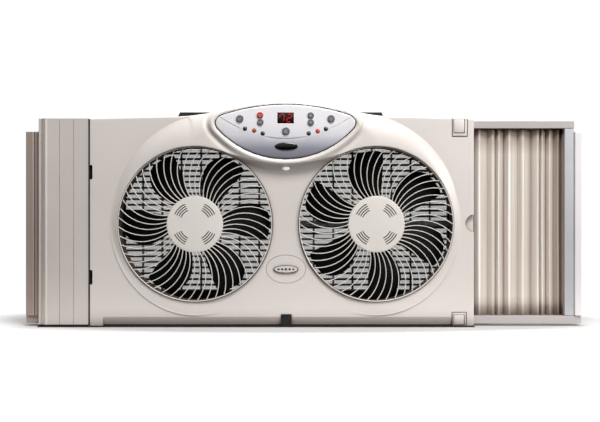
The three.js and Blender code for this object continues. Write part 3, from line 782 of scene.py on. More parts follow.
# painted shade: the rear guard is near-black for the shade it stands in
GUARD_PAINTED_SHADE = moulded("guard_painted_shade", (14, 11, 10), rough=(0.5, 0.6), specular=0.25)
SCREEN_THREAD = moulded("screen_thread", (95, 86, 79), rough=(0.5, 0.7), grain=5000.0)
BLACK_PLASTIC = moulded("black_plastic", (9, 9, 9), rough=(0.28, 0.42), coat=0.1)
HANDLE_PLASTIC = moulded("handle_plastic", (12, 12, 12), rough=(0.4, 0.55), grain=1500.0, height=0.03)
BLADE_PLASTIC = moulded("blade_plastic", (4, 4, 4), rough=(0.42, 0.55), specular=0.12)
BUTTON_PLASTIC = moulded("button_plastic", (104, 104, 110), rough=(0.35, 0.45))
POWER_PLASTIC = moulded("power_plastic", (196, 44, 44), rough=(0.25, 0.35), coat=0.3)
SYMBOL_PAINT = moulded("symbol_paint", (168, 168, 174), rough=(0.4, 0.5))
LENS_DARK = glossy_black("lens_dark", (34, 38, 46))
LENS_ORANGE = glowing("lens_orange", (150, 66, 30), 0.35)
LENS_RED = glowing("lens_red", (178, 40, 36), 0.5)
SMOKED_LENS = glossy_black("smoked_lens", (4, 3, 4))
DISPLAY_GLASS = glossy_black("display_glass", (26, 4, 6))
DIGIT_LIT = glowing("digit_lit", (200, 24, 34), 0.6)
DIGIT_DARK = glowing("digit_dark", (44, 4, 7), 0.02)
BADGE_METAL = moulded("badge_metal", (222, 216, 211), rough=(0.25, 0.35), metallic=0.1)
BADGE_MARK = moulded("badge_mark", (30, 26, 26), rough=(0.4, 0.5))
# painted highlight: a glowing white dome under the head's lip
HIGHLIGHT_GLOW = glowing("painted_highlight_glow", (250, 247, 243), 0.55)
# painted shadow: near-black for contact shadows and shaded gaps
SHADOW_BLACK = moulded("painted_shadow_black", (14, 12, 11), rough=(0.7, 0.85), grain=1800.0, height=0.05)
# painted shade: dark brown for the shaded walls inside the collars and a shade line on the left-hand flange
SHADE_BROWN = moulded("painted_shade_brown", (84, 72, 66), rough=(0.45, 0.6))
ZINC = zinc()
FILM = film()
CIRCUIT = moulded("circuit_mask", (38, 92, 54), rough=(0.35, 0.5), grain=900.0, height=0.05)


# ---------------- front shell


def crease_line(margin):
    """The crease around the opening on the side where x is positive, moved outwards by a margin."""
    angle = np.arange(-112.0, CREASE_TURN + 0.1, 2.0)
    radius = crease_radius(angle) + margin
    turn = np.radians(angle)
    return np.column_stack([FAN_X + radius * np.cos(turn), FAN_Z + radius * np.sin(turn)])


def edge_line():
    """The outer edge of the swelling where x is positive: the crease, then the head's outline."""
    crease = crease_line(0.0)
    x = np.arange(crease[-1, 0] - 2.0, -6.0, -3.0)
    return np.vstack([crease, np.column_stack([x, top_line(x)])])


EDGE_LINE = edge_line()
EYE = eye_outline()

RING_LOW, RING_SIDE, RING_TOP = 1.4, 3.2, 0.9  # heights that add up from a ring's foot to its top
EYE_RIM = {"height": 2.6, "out": 5.2, "width": 4.0}
EYE_VALLEY = {"height": 1.8, "out": 13.0, "width": 3.6}
BEAD = {"height": 0.8, "in": 1.5, "width": 1.3}  # the raised line just inside the crease


def swell_height(angle):
    """How far the swelling stands out beside an opening, by the angle above the outward side."""
    height = RING_LOW + RING_SIDE * ease(angle, -50, 0) + RING_TOP * ease(angle, 0, 40)
    height = height + (HEAD_HEIGHT - RING_LOW - RING_SIDE - RING_TOP) * ease(angle, 15, 100)
    return height * ease(angle, -112, -82)


def swell_profile(angle, reach):
    """Share of the height at a share of the way in: a steep roll, or a hollow sweep at the outward side."""
    steep = 5.8 - 3.5 * ease(angle, -30, 40)
    hollow = ease(angle, -60, -20) * (1 - ease(angle, 10, 60))
    return (1 - hollow) * (1 - (1 - reach) ** steep) + hollow * reach**1.7


def eye_rim(x, z):
    """The raised rim around the control panel, and the valley outside it towards its tips."""
    away = distance_to(EYE, x, z, closed=True)
    rim = EYE_RIM["height"] * bump(away - EYE_RIM["out"], EYE_RIM["width"])
    valley = EYE_VALLEY["height"] * bump(away - EYE_VALLEY["out"], EYE_VALLEY["width"])
    valley = valley * ease(np.abs(x), 55, 100)
    return np.where(z > HEAD_FLOOR, rim - valley, 0.0)


def swelling(x, z):
    """How far the ring, shoulder and head stand in front of the flat face."""
    side = np.abs(x)
    out, up = side - FAN_X, z - FAN_Z
    angle = np.degrees(np.arctan2(up, out))
    crease = crease_radius(angle)
    beyond = np.hypot(out, up) - crease
    width = np.where(angle > CREASE_TURN, 9.0 + 37.0 * ease(side, 90, 148), crease - OPENING)
    reach = np.clip(distance_to(EDGE_LINE, side, z) / width, 0, 1)
    flat = (angle < CREASE_TURN) & (beyond > 0)
    base = np.where(flat, 0.0, swell_height(angle) * swell_profile(angle, reach))
    base = base + eye_rim(x, z) * np.clip(base / 6.0, 0, 1)
    bead = ease(angle, -112, -87) * (1 - ease(angle, -25, 5)) * (up < 0)
    base = base + BEAD["height"] * bead * bump(beyond + BEAD["in"], BEAD["width"])
    hollow = np.maximum(1 - (lip_height(x) - z) / UNDERCUT, 0.0) ** 4.5
    under_lip = (side < LIP_REACH) & (up > 0)
    return base * np.clip(np.where(under_lip, -soft_max(-hollow, -1.0, 0.12), 1.0), 0, 1)


def pockets():
    """Sunk places in the face, as (outline, depth)."""
    gland_low, gland_high = corners("cord_gland")
    found = [
        (circle(RIGHT, NOTCH_Z, NOTCH_RADIUS, 56), NOTCH_DEPTH),
        (rectangle(gland_low[0] - GAP, gland_high[0] + GAP, -8.0, gland_high[2] + GAP), 4.0),
    ]
    for name in ("extension_clip_top", "extension_clip_bottom"):
        low, high = corners(name)
        found.append((rectangle(LEFT - 8.0, high[0] + 0.4, low[2] - GAP, high[2] + GAP), 9.0))
    return found


POCKETS = pockets()
BADGE_CENTRE = centre("badge")[[0, 2]]
BADGE_GROOVE = ellipse(*BADGE_CENTRE, *BADGE_OVAL, 72)
CLIP_COVERS = [rectangle(255.0, 278.2, 290.8, 340.0), rectangle(254.6, 276.6, -20.0, 22.0)]


def groove(outline, x, z, half_width, depth):
    """Depth of a V-shaped groove along a closed outline."""
    return depth * np.clip(1 - distance_to(outline, x, z, closed=True) / half_width, 0, 1)


def shell_relief(x, z):
    """How far the front shell stands in front of the flat face, with its grooves, pockets and edges."""
    relief = swelling(x, z)
    for spot in FANS.values():
        relief -= fillet(np.hypot(x - spot, z - FAN_Z) - OPENING, 1.6)
    relief -= np.where(inside(EYE, x, z), 0.0, fillet(distance_to(EYE, x, z, closed=True), 1.0))
    chin = (z < CHIN_TOP) & (x > CHIN_LEFT - 0.01) & (x < CHIN_RIGHT + 0.01)
    relief -= np.where(chin, CHIN_DEPTH * (1 - z / CHIN_TOP), 0.0)
    relief -= groove(BADGE_GROOVE, x, z, half_width=0.5, depth=0.8)
    for cover in CLIP_COVERS:
        relief -= groove(cover, x, z, half_width=0.7, depth=1.8)
    for outline, depth in POCKETS:
        sunk = inside(outline, x, z) & (distance_to(outline, x, z, closed=True) > 0.2)
        relief -= np.where(sunk, depth, 0.0)
    edge = np.minimum(np.minimum(x - LEFT, RIGHT - x), np.minimum(z, top_line(x) - z))
    return relief - fillet(edge, 2.0)


def grown(outline, amount):
    """A closed outline moved outwards along its normals."""
    ahead = np.roll(outline, -1, axis=0) - np.roll(outline, 1, axis=0)
    normal = np.column_stack([ahead[:, 1], -ahead[:, 0]])
    normal /= np.linalg.norm(normal, axis=1)[:, None]
    return outline + amount * normal


def shell_lines():
    """The lines that the front shell's triangles follow."""
    lines = [(body_outline(inset), True) for inset in (0.3, 0.8, 1.4, 2.0)]
    for spot in FANS.values():
        lines += [(circle(spot, FAN_Z, OPENING + margin, 128), True) for margin in (0.4, 0.9, 1.6)]
    for margin in (-2.8, -1.5, -0.6, 0.0, 0.5):
        lines += [(crease_line(margin) * [sign, 1], False) for sign in (1, -1)]
    x = np.arange(-LIP_REACH, LIP_REACH + 0.1, 3.0)
    for below in (-0.6, 0.0, 0.8, 1.8, 3.2, 5.0):
        lines.append((np.column_stack([x, lip_height(x) - below]), False))
    lines += [(eye_outline(margin), True) for margin in (0.5, 1.0)]
    for margin in (-0.5, 0.0, 0.5):
        lines.append((grown(BADGE_GROOVE, margin), True))
        lines += [(grown(outline, 1.4 * margin), True) for outline in CLIP_COVERS]
    for outline, _ in POCKETS:
        lines += [(outline, True), (grown(outline, -0.3), True)]
    for margin in (-0.4, 0.0, 0.4):
        chin = rectangle(CHIN_LEFT - margin, CHIN_RIGHT + margin, -9.0, CHIN_TOP + margin)
        lines.append((chin, True))
    return lines


def shell_skin():
    """The front shell's face as an open skin, in millimetres."""
    openings = [circle(x, FAN_Z, OPENING, 128) for x in FANS.values()]
    grids = [
        (-152.0, 152.0, 232.0, 350.0, 2.0),
        (LEFT + 1, RIGHT - 1, 1.0, 350.0, 3.4),
    ]
    points, triangles = triangulate(body_outline(), [*openings, EYE], shell_lines(), grids)
    x, z = points.T
    y = FACE - shell_relief(x, z)
    bm = bmesh.new()
    made = {}
    for v in triangles.flat:
        if v not in made:
            made[v] = bm.verts.new((x[v], y[v], z[v]))
    for triangle in triangles:
        bm.faces.new([made[v] for v in triangle])
    return bm


def rim_of(edge):
    """Which rim of the skin an open edge belongs to."""
    middle = (edge.verts[0].co + edge.verts[1].co) / 2
    if abs(math.hypot(abs(middle.x) - FAN_X, middle.z - FAN_Z) - OPENING) < 1.0:
        return "opening"
    return "eye" if distance_to(EYE, middle.x, middle.z, closed=True) < 0.3 else "outline"


def front_shell():
    """The moulded front: face, rings, shoulders, head, collars and side walls, one wall thick."""
    bm = shell_skin()
    rims = {"opening": [], "eye": [], "outline": []}
    for edge in [e for e in bm.edges if e.is_boundary]:
        rims[rim_of(edge)].append(edge)
    draw_back(bm, rims["opening"], COLLAR_BACK)
    draw_back(bm, rims["eye"], FACE - 4.0)
    edges = rims["outline"]
    for depth in (BAY_FRONT, BAY_BACK, SPLIT - GAP):
        edges = draw_back(bm, edges, depth)
    close_head(bm, edges)
    open_bay(bm)
    bmesh.ops.scale(bm, vec=(MM, MM, MM), verts=bm.verts)
    bmesh.ops.recalc_face_normals(bm, faces=bm.faces)
    front = min(bm.faces, key=lambda f: f.calc_center_median().y)
    if front.normal.y > 0:
        bmesh.ops.reverse_faces(bm, faces=bm.faces)
    mesh = finish_mesh(bm, "front_shell", SHELL_SMOOTH)
    piece = show("front_shell", mesh, BODY_PLASTIC, "housing", ("front_housing",))
    thicken(piece, WALL)
    piece.data.set_sharp_from_angle(angle=math.radians(SHELL_SMOOTH))


def draw_back(bm, edges, depth):
    """Makes walls from open edges to a depth, and gives the walls' new edges."""
    found = bmesh.ops.extrude_edge_only(bm, edges=edges)["geom"]
    for vertex in [g for g in found if isinstance(g, bmesh.types.BMVert)]:
        vertex.co.y = depth
    return [g for g in found if isinstance(g, bmesh.types.BMEdge) and g.is_boundary]


def open_bay(bm):
    """Opens the right-hand wall where the extender slides in."""
    def in_bay(v):
        level = BAY_FRONT - 0.1 < v.co.y < BAY_BACK + 0.1
        return level and v.co.x > RIGHT - 0.1 and WALL - 0.1 < v.co.z < CORNER_HEIGHT - WALL + 0.1

    gap = [face for face in bm.faces if all(in_bay(v) for v in face.verts)]
    bmesh.ops.delete(bm, geom=gap, context="FACES")


def close_head(bm, edges):
    """Closes the back of the head, from its outline down to the body's top edge."""
    def is_above(vertex):
        return vertex.co.z > float(body_top(vertex.co.x)) + 0.15

    back = [e for e in edges if e.is_boundary and all(is_above(v) for v in e.verts)]
    found = bmesh.ops.extrude_edge_only(bm, edges=back)["geom"]
    for vertex in [g for g in found if isinstance(g, bmesh.types.BMVert)]:
        vertex.co.z = float(body_top(vertex.co.x))


def thicken(piece, thickness, offset=-1.0):
    """Gives a single-sided piece a wall: inwards, or to both sides with an offset of 0."""
    wall = piece.modifiers.new("wall", "SOLIDIFY")
    wall.thickness = thickness * MM
    wall.offset = offset
    apply_modifiers(piece)


def apply_modifiers(piece):
    graph = bpy.context.evaluated_depsgraph_get()
    mesh = bpy.data.meshes.new_from_object(piece.evaluated_get(graph))
    piece.modifiers.clear()
    piece.data = mesh


# ---------------- control head


FOLD_LOW, FOLD_BEND = 287.6, 0.0033  # the fold across the fascia
FASCIA_GAP = 1.1
FASCIA_FACE, FASCIA_BACK = -59.3, -56.0


def fold_height(x):
    return FOLD_LOW + FOLD_BEND * x**2


def middle_and_half(node, inset=0.0):
    """Centre (x, z) and half sizes (across, up) of a CAD node, made smaller by an inset."""
    low, high = corners(node)
    return (low[[0, 2]] + high[[0, 2]]) / 2, (high[[0, 2]] - low[[0, 2]]) / 2 - inset


def round_spot(node):
    """Centre (x, z) and radius of a round CAD node, and the Y of its front and its back."""
    low, high = corners(node)
    (x, z), (radius, _) = middle_and_half(node)
    return x, z, radius, low[1], high[1]


BUTTONS = [node for node in BODY_OF if node.startswith("button_")]
LAMPS = [node for node in BODY_OF if node.startswith("led_")]
LIT_LAMPS = {"led_left_medium": LENS_ORANGE, "led_right_medium": LENS_RED}
CAP_FLANGE = 0.6  # the hidden flange of a button is this much wider than its cap
CAP_DEPTH = 5.0
CAP_PLAY, LAMP_PLAY = 0.45, 0.25  # the gap around a button's cap and around a lamp


def fascia_holes():
    """The openings for the buttons, the lamps, the display and the infrared window."""
    spots = [(node, CAP_PLAY - CAP_FLANGE, 32) for node in BUTTONS]
    spots += [(node, LAMP_PLAY, 24) for node in LAMPS]
    holes = []
    for node, margin, count in spots:
        x, z, radius, _, _ = round_spot(node)
        holes.append(circle(x, z, radius + margin, count))
    low, high = corners("display_module")
    holes.append(rectangle(low[0] + 0.3, high[0] - 0.3, low[2] + 0.3, high[2] - 0.3, 3.0))
    spot, half = middle_and_half("infrared_window", 0.3)
    holes.append(ellipse(*spot, *half, 48))
    return holes


def fascia_front(x, z):
    """Y of the fascia's face: a crowned upper field, a fold, and a lower band that leans back."""
    side = np.abs(x)
    below = fold_height(x) - z
    tips = ease(side, 62, 76) * (1 - ease(side, 98, 106))
    depth = 1.1 * (1 - ease(side, 22, 36)) + 0.8 * tips
    step = np.where(below > 0.2, depth * np.exp(-np.maximum(below, 0) / 5.0), 0.0)
    lean = 0.075 * np.maximum(below, 0)
    crown = 0.5 * (1 - (x / 105.0) ** 2)
    edge = distance_to(eye_outline(-FASCIA_GAP), x, z, closed=True)
    return FASCIA_FACE - crown + step + lean + fillet(edge, 0.9)


def fascia():
    """The folded control panel, and a black plate of painted shade behind the gap around it."""
    lines = [(eye_outline(-FASCIA_GAP - inset), True) for inset in (0.3, 0.9)]
    x = np.arange(-104.0, 104.1, 2.0)
    for below in (0.0, 0.4, 1.4, 3.0, 5.5):
        lines.append((np.column_stack([x, fold_height(x) - below]), False))
    grids = [(-112.0, 112.0, 256.0, 342.0, 2.4)]
    solid = plate(eye_outline(-FASCIA_GAP), fascia_holes(), fascia_front, FASCIA_BACK, lines, grids)
    node = ("control_fascia",)
    add_piece("fascia_panel", [solid], silver_paint(), nodes=node, smooth_angle=25.0)
    # painted shade: a black plate that darkens the gap around the fascia
    gap_shade = plate(eye_outline(-0.05), [eye_outline(0.1 - FASCIA_GAP)], FASCIA_BACK - 2.0, FASCIA_BACK - 0.5)
    add_piece("fascia_gap_shade", [gap_shade], SHADOW_BLACK)


def button(node):
    """A push button: a dished cap with a rolled edge."""
    x, z, wide, front, back = round_spot(node)
    radius = wide - CAP_FLANGE
    profile = [
        (0, front + 0.35),
        (radius * 0.45, front + 0.28),
        (radius * 0.72, front + 0.05),
        (radius * 0.8, front),
        (radius - 0.35, front + 0.2),
        (radius, front + 0.7),
        (radius, front + CAP_DEPTH),
        (wide, front + CAP_DEPTH),
        (wide, back),
        (0, back),
    ]
    material = POWER_PLASTIC if node == "button_power" else BUTTON_PLASTIC
    body = BODY_OF[node]
    add_piece(node + "_cap", [lathe(profile, x, z, 40)], material, body, (node,))
    marks = [prism(mark * radius * 0.5 + [x, z], front + 0.1, front + 0.5) for mark in button_marks(node)]
    add_piece(node + "_mark", marks, SYMBOL_PAINT, body, bevel=(0.06, 1))


def arc_band(radius, width, start, end, count=14):
    """A flat curved band about the origin, from start to end in degrees."""
    turn = np.radians(np.linspace(start, end, count))
    way = np.column_stack([np.cos(turn), np.sin(turn)])
    return np.vstack([way * (radius + width / 2), way[::-1] * (radius - width / 2)])


def bar_mark(x, z, half_width, half_height):
    return four_corners(x - half_width, x + half_width, z - half_height, z + half_height)


def button_marks(node):
    """Plain symbols, in a circle of radius 1: an arrow, a blade, a bar. They are not lettering."""
    arrow = np.array([(-0.8, -0.45), (0.8, -0.45), (0.0, 0.8)])
    if node == "button_power":
        return [arc_band(0.8, 0.28, -230, 50), bar_mark(0.0, 0.55, 0.14, 0.5)]
    if node == "button_temp_up":
        return [arrow]
    if node == "button_temp_down":
        return [arrow[::-1] * [1, -1]]
    if node == "button_airflow":
        return [bar_mark(0.0, 0.35, 0.85, 0.16), bar_mark(0.0, -0.35, 0.85, 0.16)]
    if node == "button_mode":
        return [arc_band(0.8, 0.26, 0, 340, 24), bar_mark(0.0, 0.0, 0.26, 0.26)]
    return [arc_band(0.62, 0.42, start, start + 62) for start in (0, 120, 240)]


def lamp(node):
    """A small lens with a domed end."""
    x, z, radius, front, back = round_spot(node)
    lens = radius - 0.1
    dome = [(0, front), (lens * 0.5, front + 0.2), (lens * 0.85, front + 0.75), (lens, front + 1.4)]
    solid = lathe([*dome, (lens, back), (0, back)], x, z, 28)
    add_piece(node + "_lens", [solid], LIT_LAMPS.get(node, LENS_DARK), nodes=(node,))


def digit_segments(x, z, half_width, half_height, thick):
    """The seven bars of a leaning digit, as outlines.

    They are the top, upper right, lower right, bottom, lower left, upper left and middle.
    """
    room = thick * 0.62  # what each bar leaves free at its ends

    def pointed(low, high):
        """A bar pointed at both ends, as (along, aside) pairs."""
        tips = [(low + room, 0), (low + 2 * room, thick / 2), (high - 2 * room, thick / 2)]
        return tips + [(high - room, 0), (high - 2 * room, -thick / 2), (low + 2 * room, -thick / 2)]

    def flat(level):
        return [(along, level + aside) for along, aside in pointed(-half_width, half_width)]

    def tall(across, low):
        return [(across + aside, along) for along, aside in pointed(low, low + half_height)]

    shapes = [flat(half_height), tall(half_width, 0), tall(half_width, -half_height), flat(-half_height)]
    shapes += [tall(-half_width, -half_height), tall(-half_width, 0), flat(0)]
    return [np.array([(x + a + DIGIT_LEAN * b, z + b) for a, b in shape]) for shape in shapes]


SEVEN, TWO = (0, 1, 2, 5), (0, 1, 3, 4, 6)  # the lit bars of two digits
DIGIT_SHIFT, DIGIT_LEAN = 5.6, 0.12
DIGIT_SIZE = (3.3, 5.8, 1.05)  # half width, half height and thickness of the bars
LOZENGE_PITCH, LOZENGE_HALF = 5.6, (2.2, 2.4)


def display():
    """The smoked window with two seven-bar digits in its face."""
    low, high = corners("display_module")
    (x, z), (across, up) = middle_and_half("display_module", 0.5)
    glass = prism(four_corners(x - across, x + across, z - up, z + up), low[1] + 0.2, high[1])
    node = ("display_module",)
    add_piece("display_window", [glass], DISPLAY_GLASS, nodes=node, bevel=(0.3, 2))
    lit, dark = [], []
    for spot, lit_bars in ((x - DIGIT_SHIFT, SEVEN), (x + DIGIT_SHIFT, TWO)):
        for number, outline in enumerate(digit_segments(spot, z, *DIGIT_SIZE)):
            bar = prism(outline, low[1] + 0.05, low[1] + 0.5)
            (lit if number in lit_bars else dark).append(bar)
    add_piece("display_digits_lit", lit, DIGIT_LIT)
    add_piece("display_digits_dark", dark, DIGIT_DARK)


def infrared_window():
    """The dark domed window for the remote control."""
    low, high = corners("infrared_window")
    (x, z), (across, up) = middle_and_half("infrared_window", 0.5)

    def dome(a, b):
        reach = np.clip(((a - x) / across) ** 2 + ((b - z) / up) ** 2, 0, 1)
        return low[1] + 1.3 - 1.3 * np.sqrt(1 - reach)

    grids = [(low[0], high[0], low[2], high[2], 1.2)]
    lines = [(ellipse(x, z, across * k, up * k, 56), True) for k in (0.96, 0.88, 0.72)]
    solid = plate(ellipse(x, z, across, up, 56), [], dome, high[1], lines, grids)
    node = ("infrared_window",)
    add_piece("infrared_lens", [solid], SMOKED_LENS, nodes=node, smooth_angle=50.0)


def badge():
    """An oval plate with a plain mark: a row of five lozenges inside a fine line."""
    front, back = (corner[1] for corner in corners("badge"))
    (x, z), (across, up) = middle_and_half("badge", 0.3)
    edge = prism(ellipse(x, z, across, up, 64), front, back)
    add_piece("badge_plate", [edge], BADGE_METAL, nodes=("badge",), bevel=(0.5, 3))
    marks = []
    for i in range(-2, 3):
        wide, tall = LOZENGE_HALF[0], LOZENGE_HALF[1] - 0.35 * abs(i)
        lozenge = ellipse(x + LOZENGE_PITCH * i, z, wide, tall, 4)
        marks.append(prism(lozenge, front - 0.2, front + 0.3))
    add_piece("badge_mark", marks, BADGE_MARK, bevel=(0.1, 1))
    outer = ellipse(x, z, across - 0.4, up - 0.4, 72)
    inner = ellipse(x, z, across - 1.7, up - 1.5, 72)
    line = plate(outer, [inner], front - 0.15, front + 0.3)
    add_piece("badge_line", [line], BADGE_MARK)


# ---------------- grilles


HUB = 43.3
RIBS = 52
RIB_HALF, RIM_WIDTH = 0.72, 1.4
HUB_DOME, HUB_BACKING = 1.1, 38.0
RIB_CHORD, RIB_LEAN, RIB_BULGE = 74.6, -10.9, 11.7
FIRST_RIB = {"left": 2.1, "right": 0.3}
SLOT_RADII = (23.6, 27.1, 30.6, 34.1)
SLOT_SPREAD = 19.0  # half angle of the slots, in degrees
SLOT_HALF = 0.8


def rib_path(x, angle, steps=14):
    """Points along a curved rib, from the hub to the rim."""
    radius = (RIB_CHORD**2 / 4 + RIB_BULGE**2) / (2 * RIB_BULGE)
    half = math.asin(RIB_CHORD / 2 / radius)
    start = np.array([math.cos(angle), math.sin(angle)]) * (HUB - 1.5)
    lean = angle + math.radians(RIB_LEAN)
    along = np.array([math.cos(lean), math.sin(lean)])
    aside = np.array([-along[1], along[0]])
    middle = start + along * RIB_CHORD / 2 + aside * (RIB_BULGE - radius)
    points = []
    for i in range(steps + 1):
        turn = half * (1 - 2 * i / steps)
        point = middle + radius * (math.cos(turn) * aside - math.sin(turn) * along)
        points.append((x + point[0], FAN_Z + point[1]))
    return points


def swept(path, half_width, front, back, sides=8):
    """A rounded section carried along a path in X and Z."""
    path = np.array(path)
    ahead = np.gradient(path, axis=0)
    normal = np.column_stack([-ahead[:, 1], ahead[:, 0]])
    normal /= np.linalg.norm(normal, axis=1)[:, None]
    deep = (back - front) / 2
    sections = []
    for point, across in zip(path, normal):
        section = []
        for k in range(sides):
            turn = 2 * math.pi * (k + 0.5) / sides
            px, pz = point + across * half_width * math.cos(turn)
            square = math.copysign(abs(math.sin(turn)) ** 0.6, math.sin(turn))
            section.append((px, front + deep + deep * square, pz))
        sections.append(section)
    return loft(sections)


def hub_slots(x):
    """Four sets of curved slots, at the diagonals of a hub cap."""
    slots = []
    for middle in (45, 135, 225, 315):
        for radius in SLOT_RADII:
            band = arc_band(radius, 2 * SLOT_HALF, middle - SLOT_SPREAD, middle + SLOT_SPREAD, 9)
            slots.append(band + [x, FAN_Z])
    return slots


def hub_cap(x, front):
    """The slotted cap in the middle of a grille, slightly domed."""

    def face(a, b):
        radius = np.hypot(a - x, b - FAN_Z)
        return front + HUB_DOME * ((radius / HUB) ** 2 - 1) + fillet(HUB - radius, 1.6)

    lines = [(circle(x, FAN_Z, HUB - inset, 96), True) for inset in (0.3, 0.8, 1.6)]
    grids = [(x - HUB, x + HUB, FAN_Z - HUB, FAN_Z + HUB, 3.0)]
    return plate(circle(x, FAN_Z, HUB, 96), hub_slots(x), face, front + 1.6, lines, grids)


def front_grille(side):
    """The cage of curved ribs with its rim and hub cap, and a dark disc behind the cap."""
    x = FANS[side]
    node = "front_grille_" + side
    _, _, outer, front, back = round_spot(node)
    parts = [hub_cap(x, front + HUB_DOME)]
    for i in range(RIBS):
        angle = math.radians(FIRST_RIB[side] + 360.0 / RIBS * i)
        parts.append(swept(rib_path(x, angle), RIB_HALF, front + 0.35, back - 0.1))
    inner = outer - RIM_WIDTH
    rim = [(inner, front + 1.5), (outer - 0.5, front + 1.1), (outer, front + 1.6)]
    parts.append(ring([*rim, (outer, back), (inner, back)], x, FAN_Z, 128))
    add_piece(node + "_cage", parts, GRILLE_PLASTIC, nodes=(node,))
    backing = prism(circle(x, FAN_Z, HUB_BACKING, 64), back - 0.5, back - 0.1)
    add_piece(node + "_backing", [backing], BLACK_PLASTIC)


GUARD_BORDER, SCREEN_HEM = 3.0, 2.5
REAR_PITCH, REAR_COLUMN = 9.6, 33.6
LEVEL_BAR, UPRIGHT_BAR, BAR_DEPTH = 1.8, 1.7, 1.4  # half sizes of the bars
# painted shade: a solid dark band where the foot of each opening lies in shade
REAR_SHADE_FOOT = 14.0  # the solid margin at the foot of the guard


def flat_frame(low, high, border, foot=0.0):
    """A flat square frame, and the low and high corners of its opening."""
    inner_low = low + [border, 0, border + foot]
    inner_high = high - [border, 0, border]
    outer = four_corners(low[0], high[0], low[2], high[2])
    hole = four_corners(inner_low[0], inner_high[0], inner_low[2], inner_high[2])
    return plate(outer, [hole], low[1], high[1]), inner_low, inner_high


def rear_grille(side):
    """The square guard at the back, near-black as painted shade: many fine level bars, a few upright ones,
    and a border.
    """
    node = "rear_grille_" + side
    low, high = corners(node)
    y = (low[1] + high[1]) / 2
    solid, inner_low, inner_high = flat_frame(low, high, GUARD_BORDER, REAR_SHADE_FOOT)
    parts = [solid]
    rows = int((inner_high[2] - inner_low[2]) / REAR_PITCH)
    for z in np.linspace(inner_low[2], inner_high[2], rows + 2)[1:-1]:
        parts.append(rod((low[0] + 1, y - 0.5, z), (high[0] - 1, y - 0.5, z), LEVEL_BAR, depth=BAR_DEPTH))
    columns = int((high[0] - low[0]) / REAR_COLUMN)
    for x in np.linspace(low[0], high[0], columns + 2)[1:-1]:
        parts.append(rod((x, y + 0.6, low[2] + 1), (x, y + 0.6, high[2] - 1), UPRIGHT_BAR, depth=BAR_DEPTH))
    add_piece(node + "_guard", parts, GUARD_PAINTED_SHADE, nodes=(node,))


THREAD_PITCH, THREAD = 1.6, 0.42


def insect_screen(side):
    """A fine mesh of level and upright threads in a thin hem."""
    node = "insect_screen_" + side
    low, high = corners(node)
    low[2] += REAR_SHADE_FOOT
    y = (low[1] + high[1]) / 2
    solid, inner_low, inner_high = flat_frame(low, high, SCREEN_HEM)
    parts = [solid]
    count = int((inner_high[2] - inner_low[2]) / THREAD_PITCH)
    for x, _, z in np.linspace(inner_low, inner_high, count + 1)[1:-1]:
        parts.append(rod((low[0] + 1, y - 0.1, z), (high[0] - 1, y - 0.1, z), THREAD, sides=4))
        parts.append(rod((x, y + 0.1, low[2] + 1), (x, y + 0.1, high[2] - 1), THREAD, sides=4))
    add_piece(node + "_mesh", parts, SCREEN_THREAD, nodes=(node,))


# ---------------- fans


BLADES = 6
FIRST_BLADE = {"left": 2.0, "right": 38.0}
BLADE_ROOT, BLADE_TIP = 29.0, 113.2
BLADE_MIDDLE = -19.0
LEADING_ENDS, LEADING_BOW = 8.8, 52.0  # degrees: at root and tip, and four times the bow between them
TRAILING_ROOT, TRAILING_LEAD = -19.0, 5.0  # degrees: at the root, and how much further on at the tip
PITCH, PITCH_FALL = 20.0, 7.0  # depth of a blade at its root, and how much less it is at the tip
CAMBER, HALF_THICK, HALF_EDGE, TIP_ROUND = 1.6, 1.15, 0.12, 0.025
HUB_PROFILE = (  # radius and Y
    *((0, -33.4), (14, -33.4), (24, -32.6), (28.4, -30.2), (30, -26), (30, -5.2), (26.5, -5.2)),
    *((26.5, -27), (7.5, -27), (7.5, -5.2), (4.4, -5.2), (4.4, -29.6), (0, -29.6)),
)


def blade_point(u, v, face, middle):
    """A point on a blade: radius, angle and Y, at a share u along it and a share v across it."""
    arch = 4 * v * (1 - v)
    leading = LEADING_ENDS + LEADING_BOW * u - LEADING_BOW * u * u
    trailing = TRAILING_ROOT + TRAILING_LEAD * u
    angle = middle + math.radians(trailing + v * (leading - trailing))
    thick = HALF_THICK * math.sqrt(max(arch, 0.0)) + HALF_EDGE
    camber = CAMBER * arch * (0.4 + 0.6 * u)
    corner = 1 - TIP_ROUND * (2 * v - 1) ** 6 * u**8
    reach = (BLADE_ROOT + u * (BLADE_TIP - BLADE_ROOT)) * corner
    y = BLADE_MIDDLE + (PITCH - PITCH_FALL * u) * (v - 0.5)
    return reach, angle, y - camber + face * thick


def blade(x, middle, along=22, across=12):
    """One swept, twisted blade with a rounded leading edge and a thin trailing edge."""
    vertices = []
    for face in (-1, 1):
        for i in range(along + 1):
            for k in range(across + 1):
                reach, angle, y = blade_point(i / along, k / across, face, middle)
                vertices.append((x + reach * math.cos(angle), y, FAN_Z + reach * math.sin(angle)))
    row = across + 1
    size = (along + 1) * row
    faces = []
    for i in range(along):
        for k in range(across):
            a, b, c, d = i * row + k, i * row + k + 1, (i + 1) * row + k + 1, (i + 1) * row + k
            faces += [[a, b, c, d], [size + d, size + c, size + b, size + a]]
    border = list(range(across)) + [i * row + across for i in range(along)]
    border += [along * row + across - k for k in range(across)] + [(along - i) * row for i in range(along)]
    for a, b in zip(border, border[1:] + border[:1]):
        faces.append([b, a, size + a, size + b])
    return vertices, faces


def impeller(side):
    """Six blades on a hollow hub."""
    node = "impeller_" + side
    angles = [math.radians(FIRST_BLADE[side] + 360.0 / BLADES * i) for i in range(BLADES)]
    parts = [blade(FANS[side], angle) for angle in angles]
    parts.append(lathe(HUB_PROFILE, FANS[side], FAN_Z, 72))
    body, slot = BODY_OF[node], SLOT_OF[node]
    add_piece(node + "_blades", parts, BLADE_PLASTIC, body, (node,), smooth_angle=40.0)


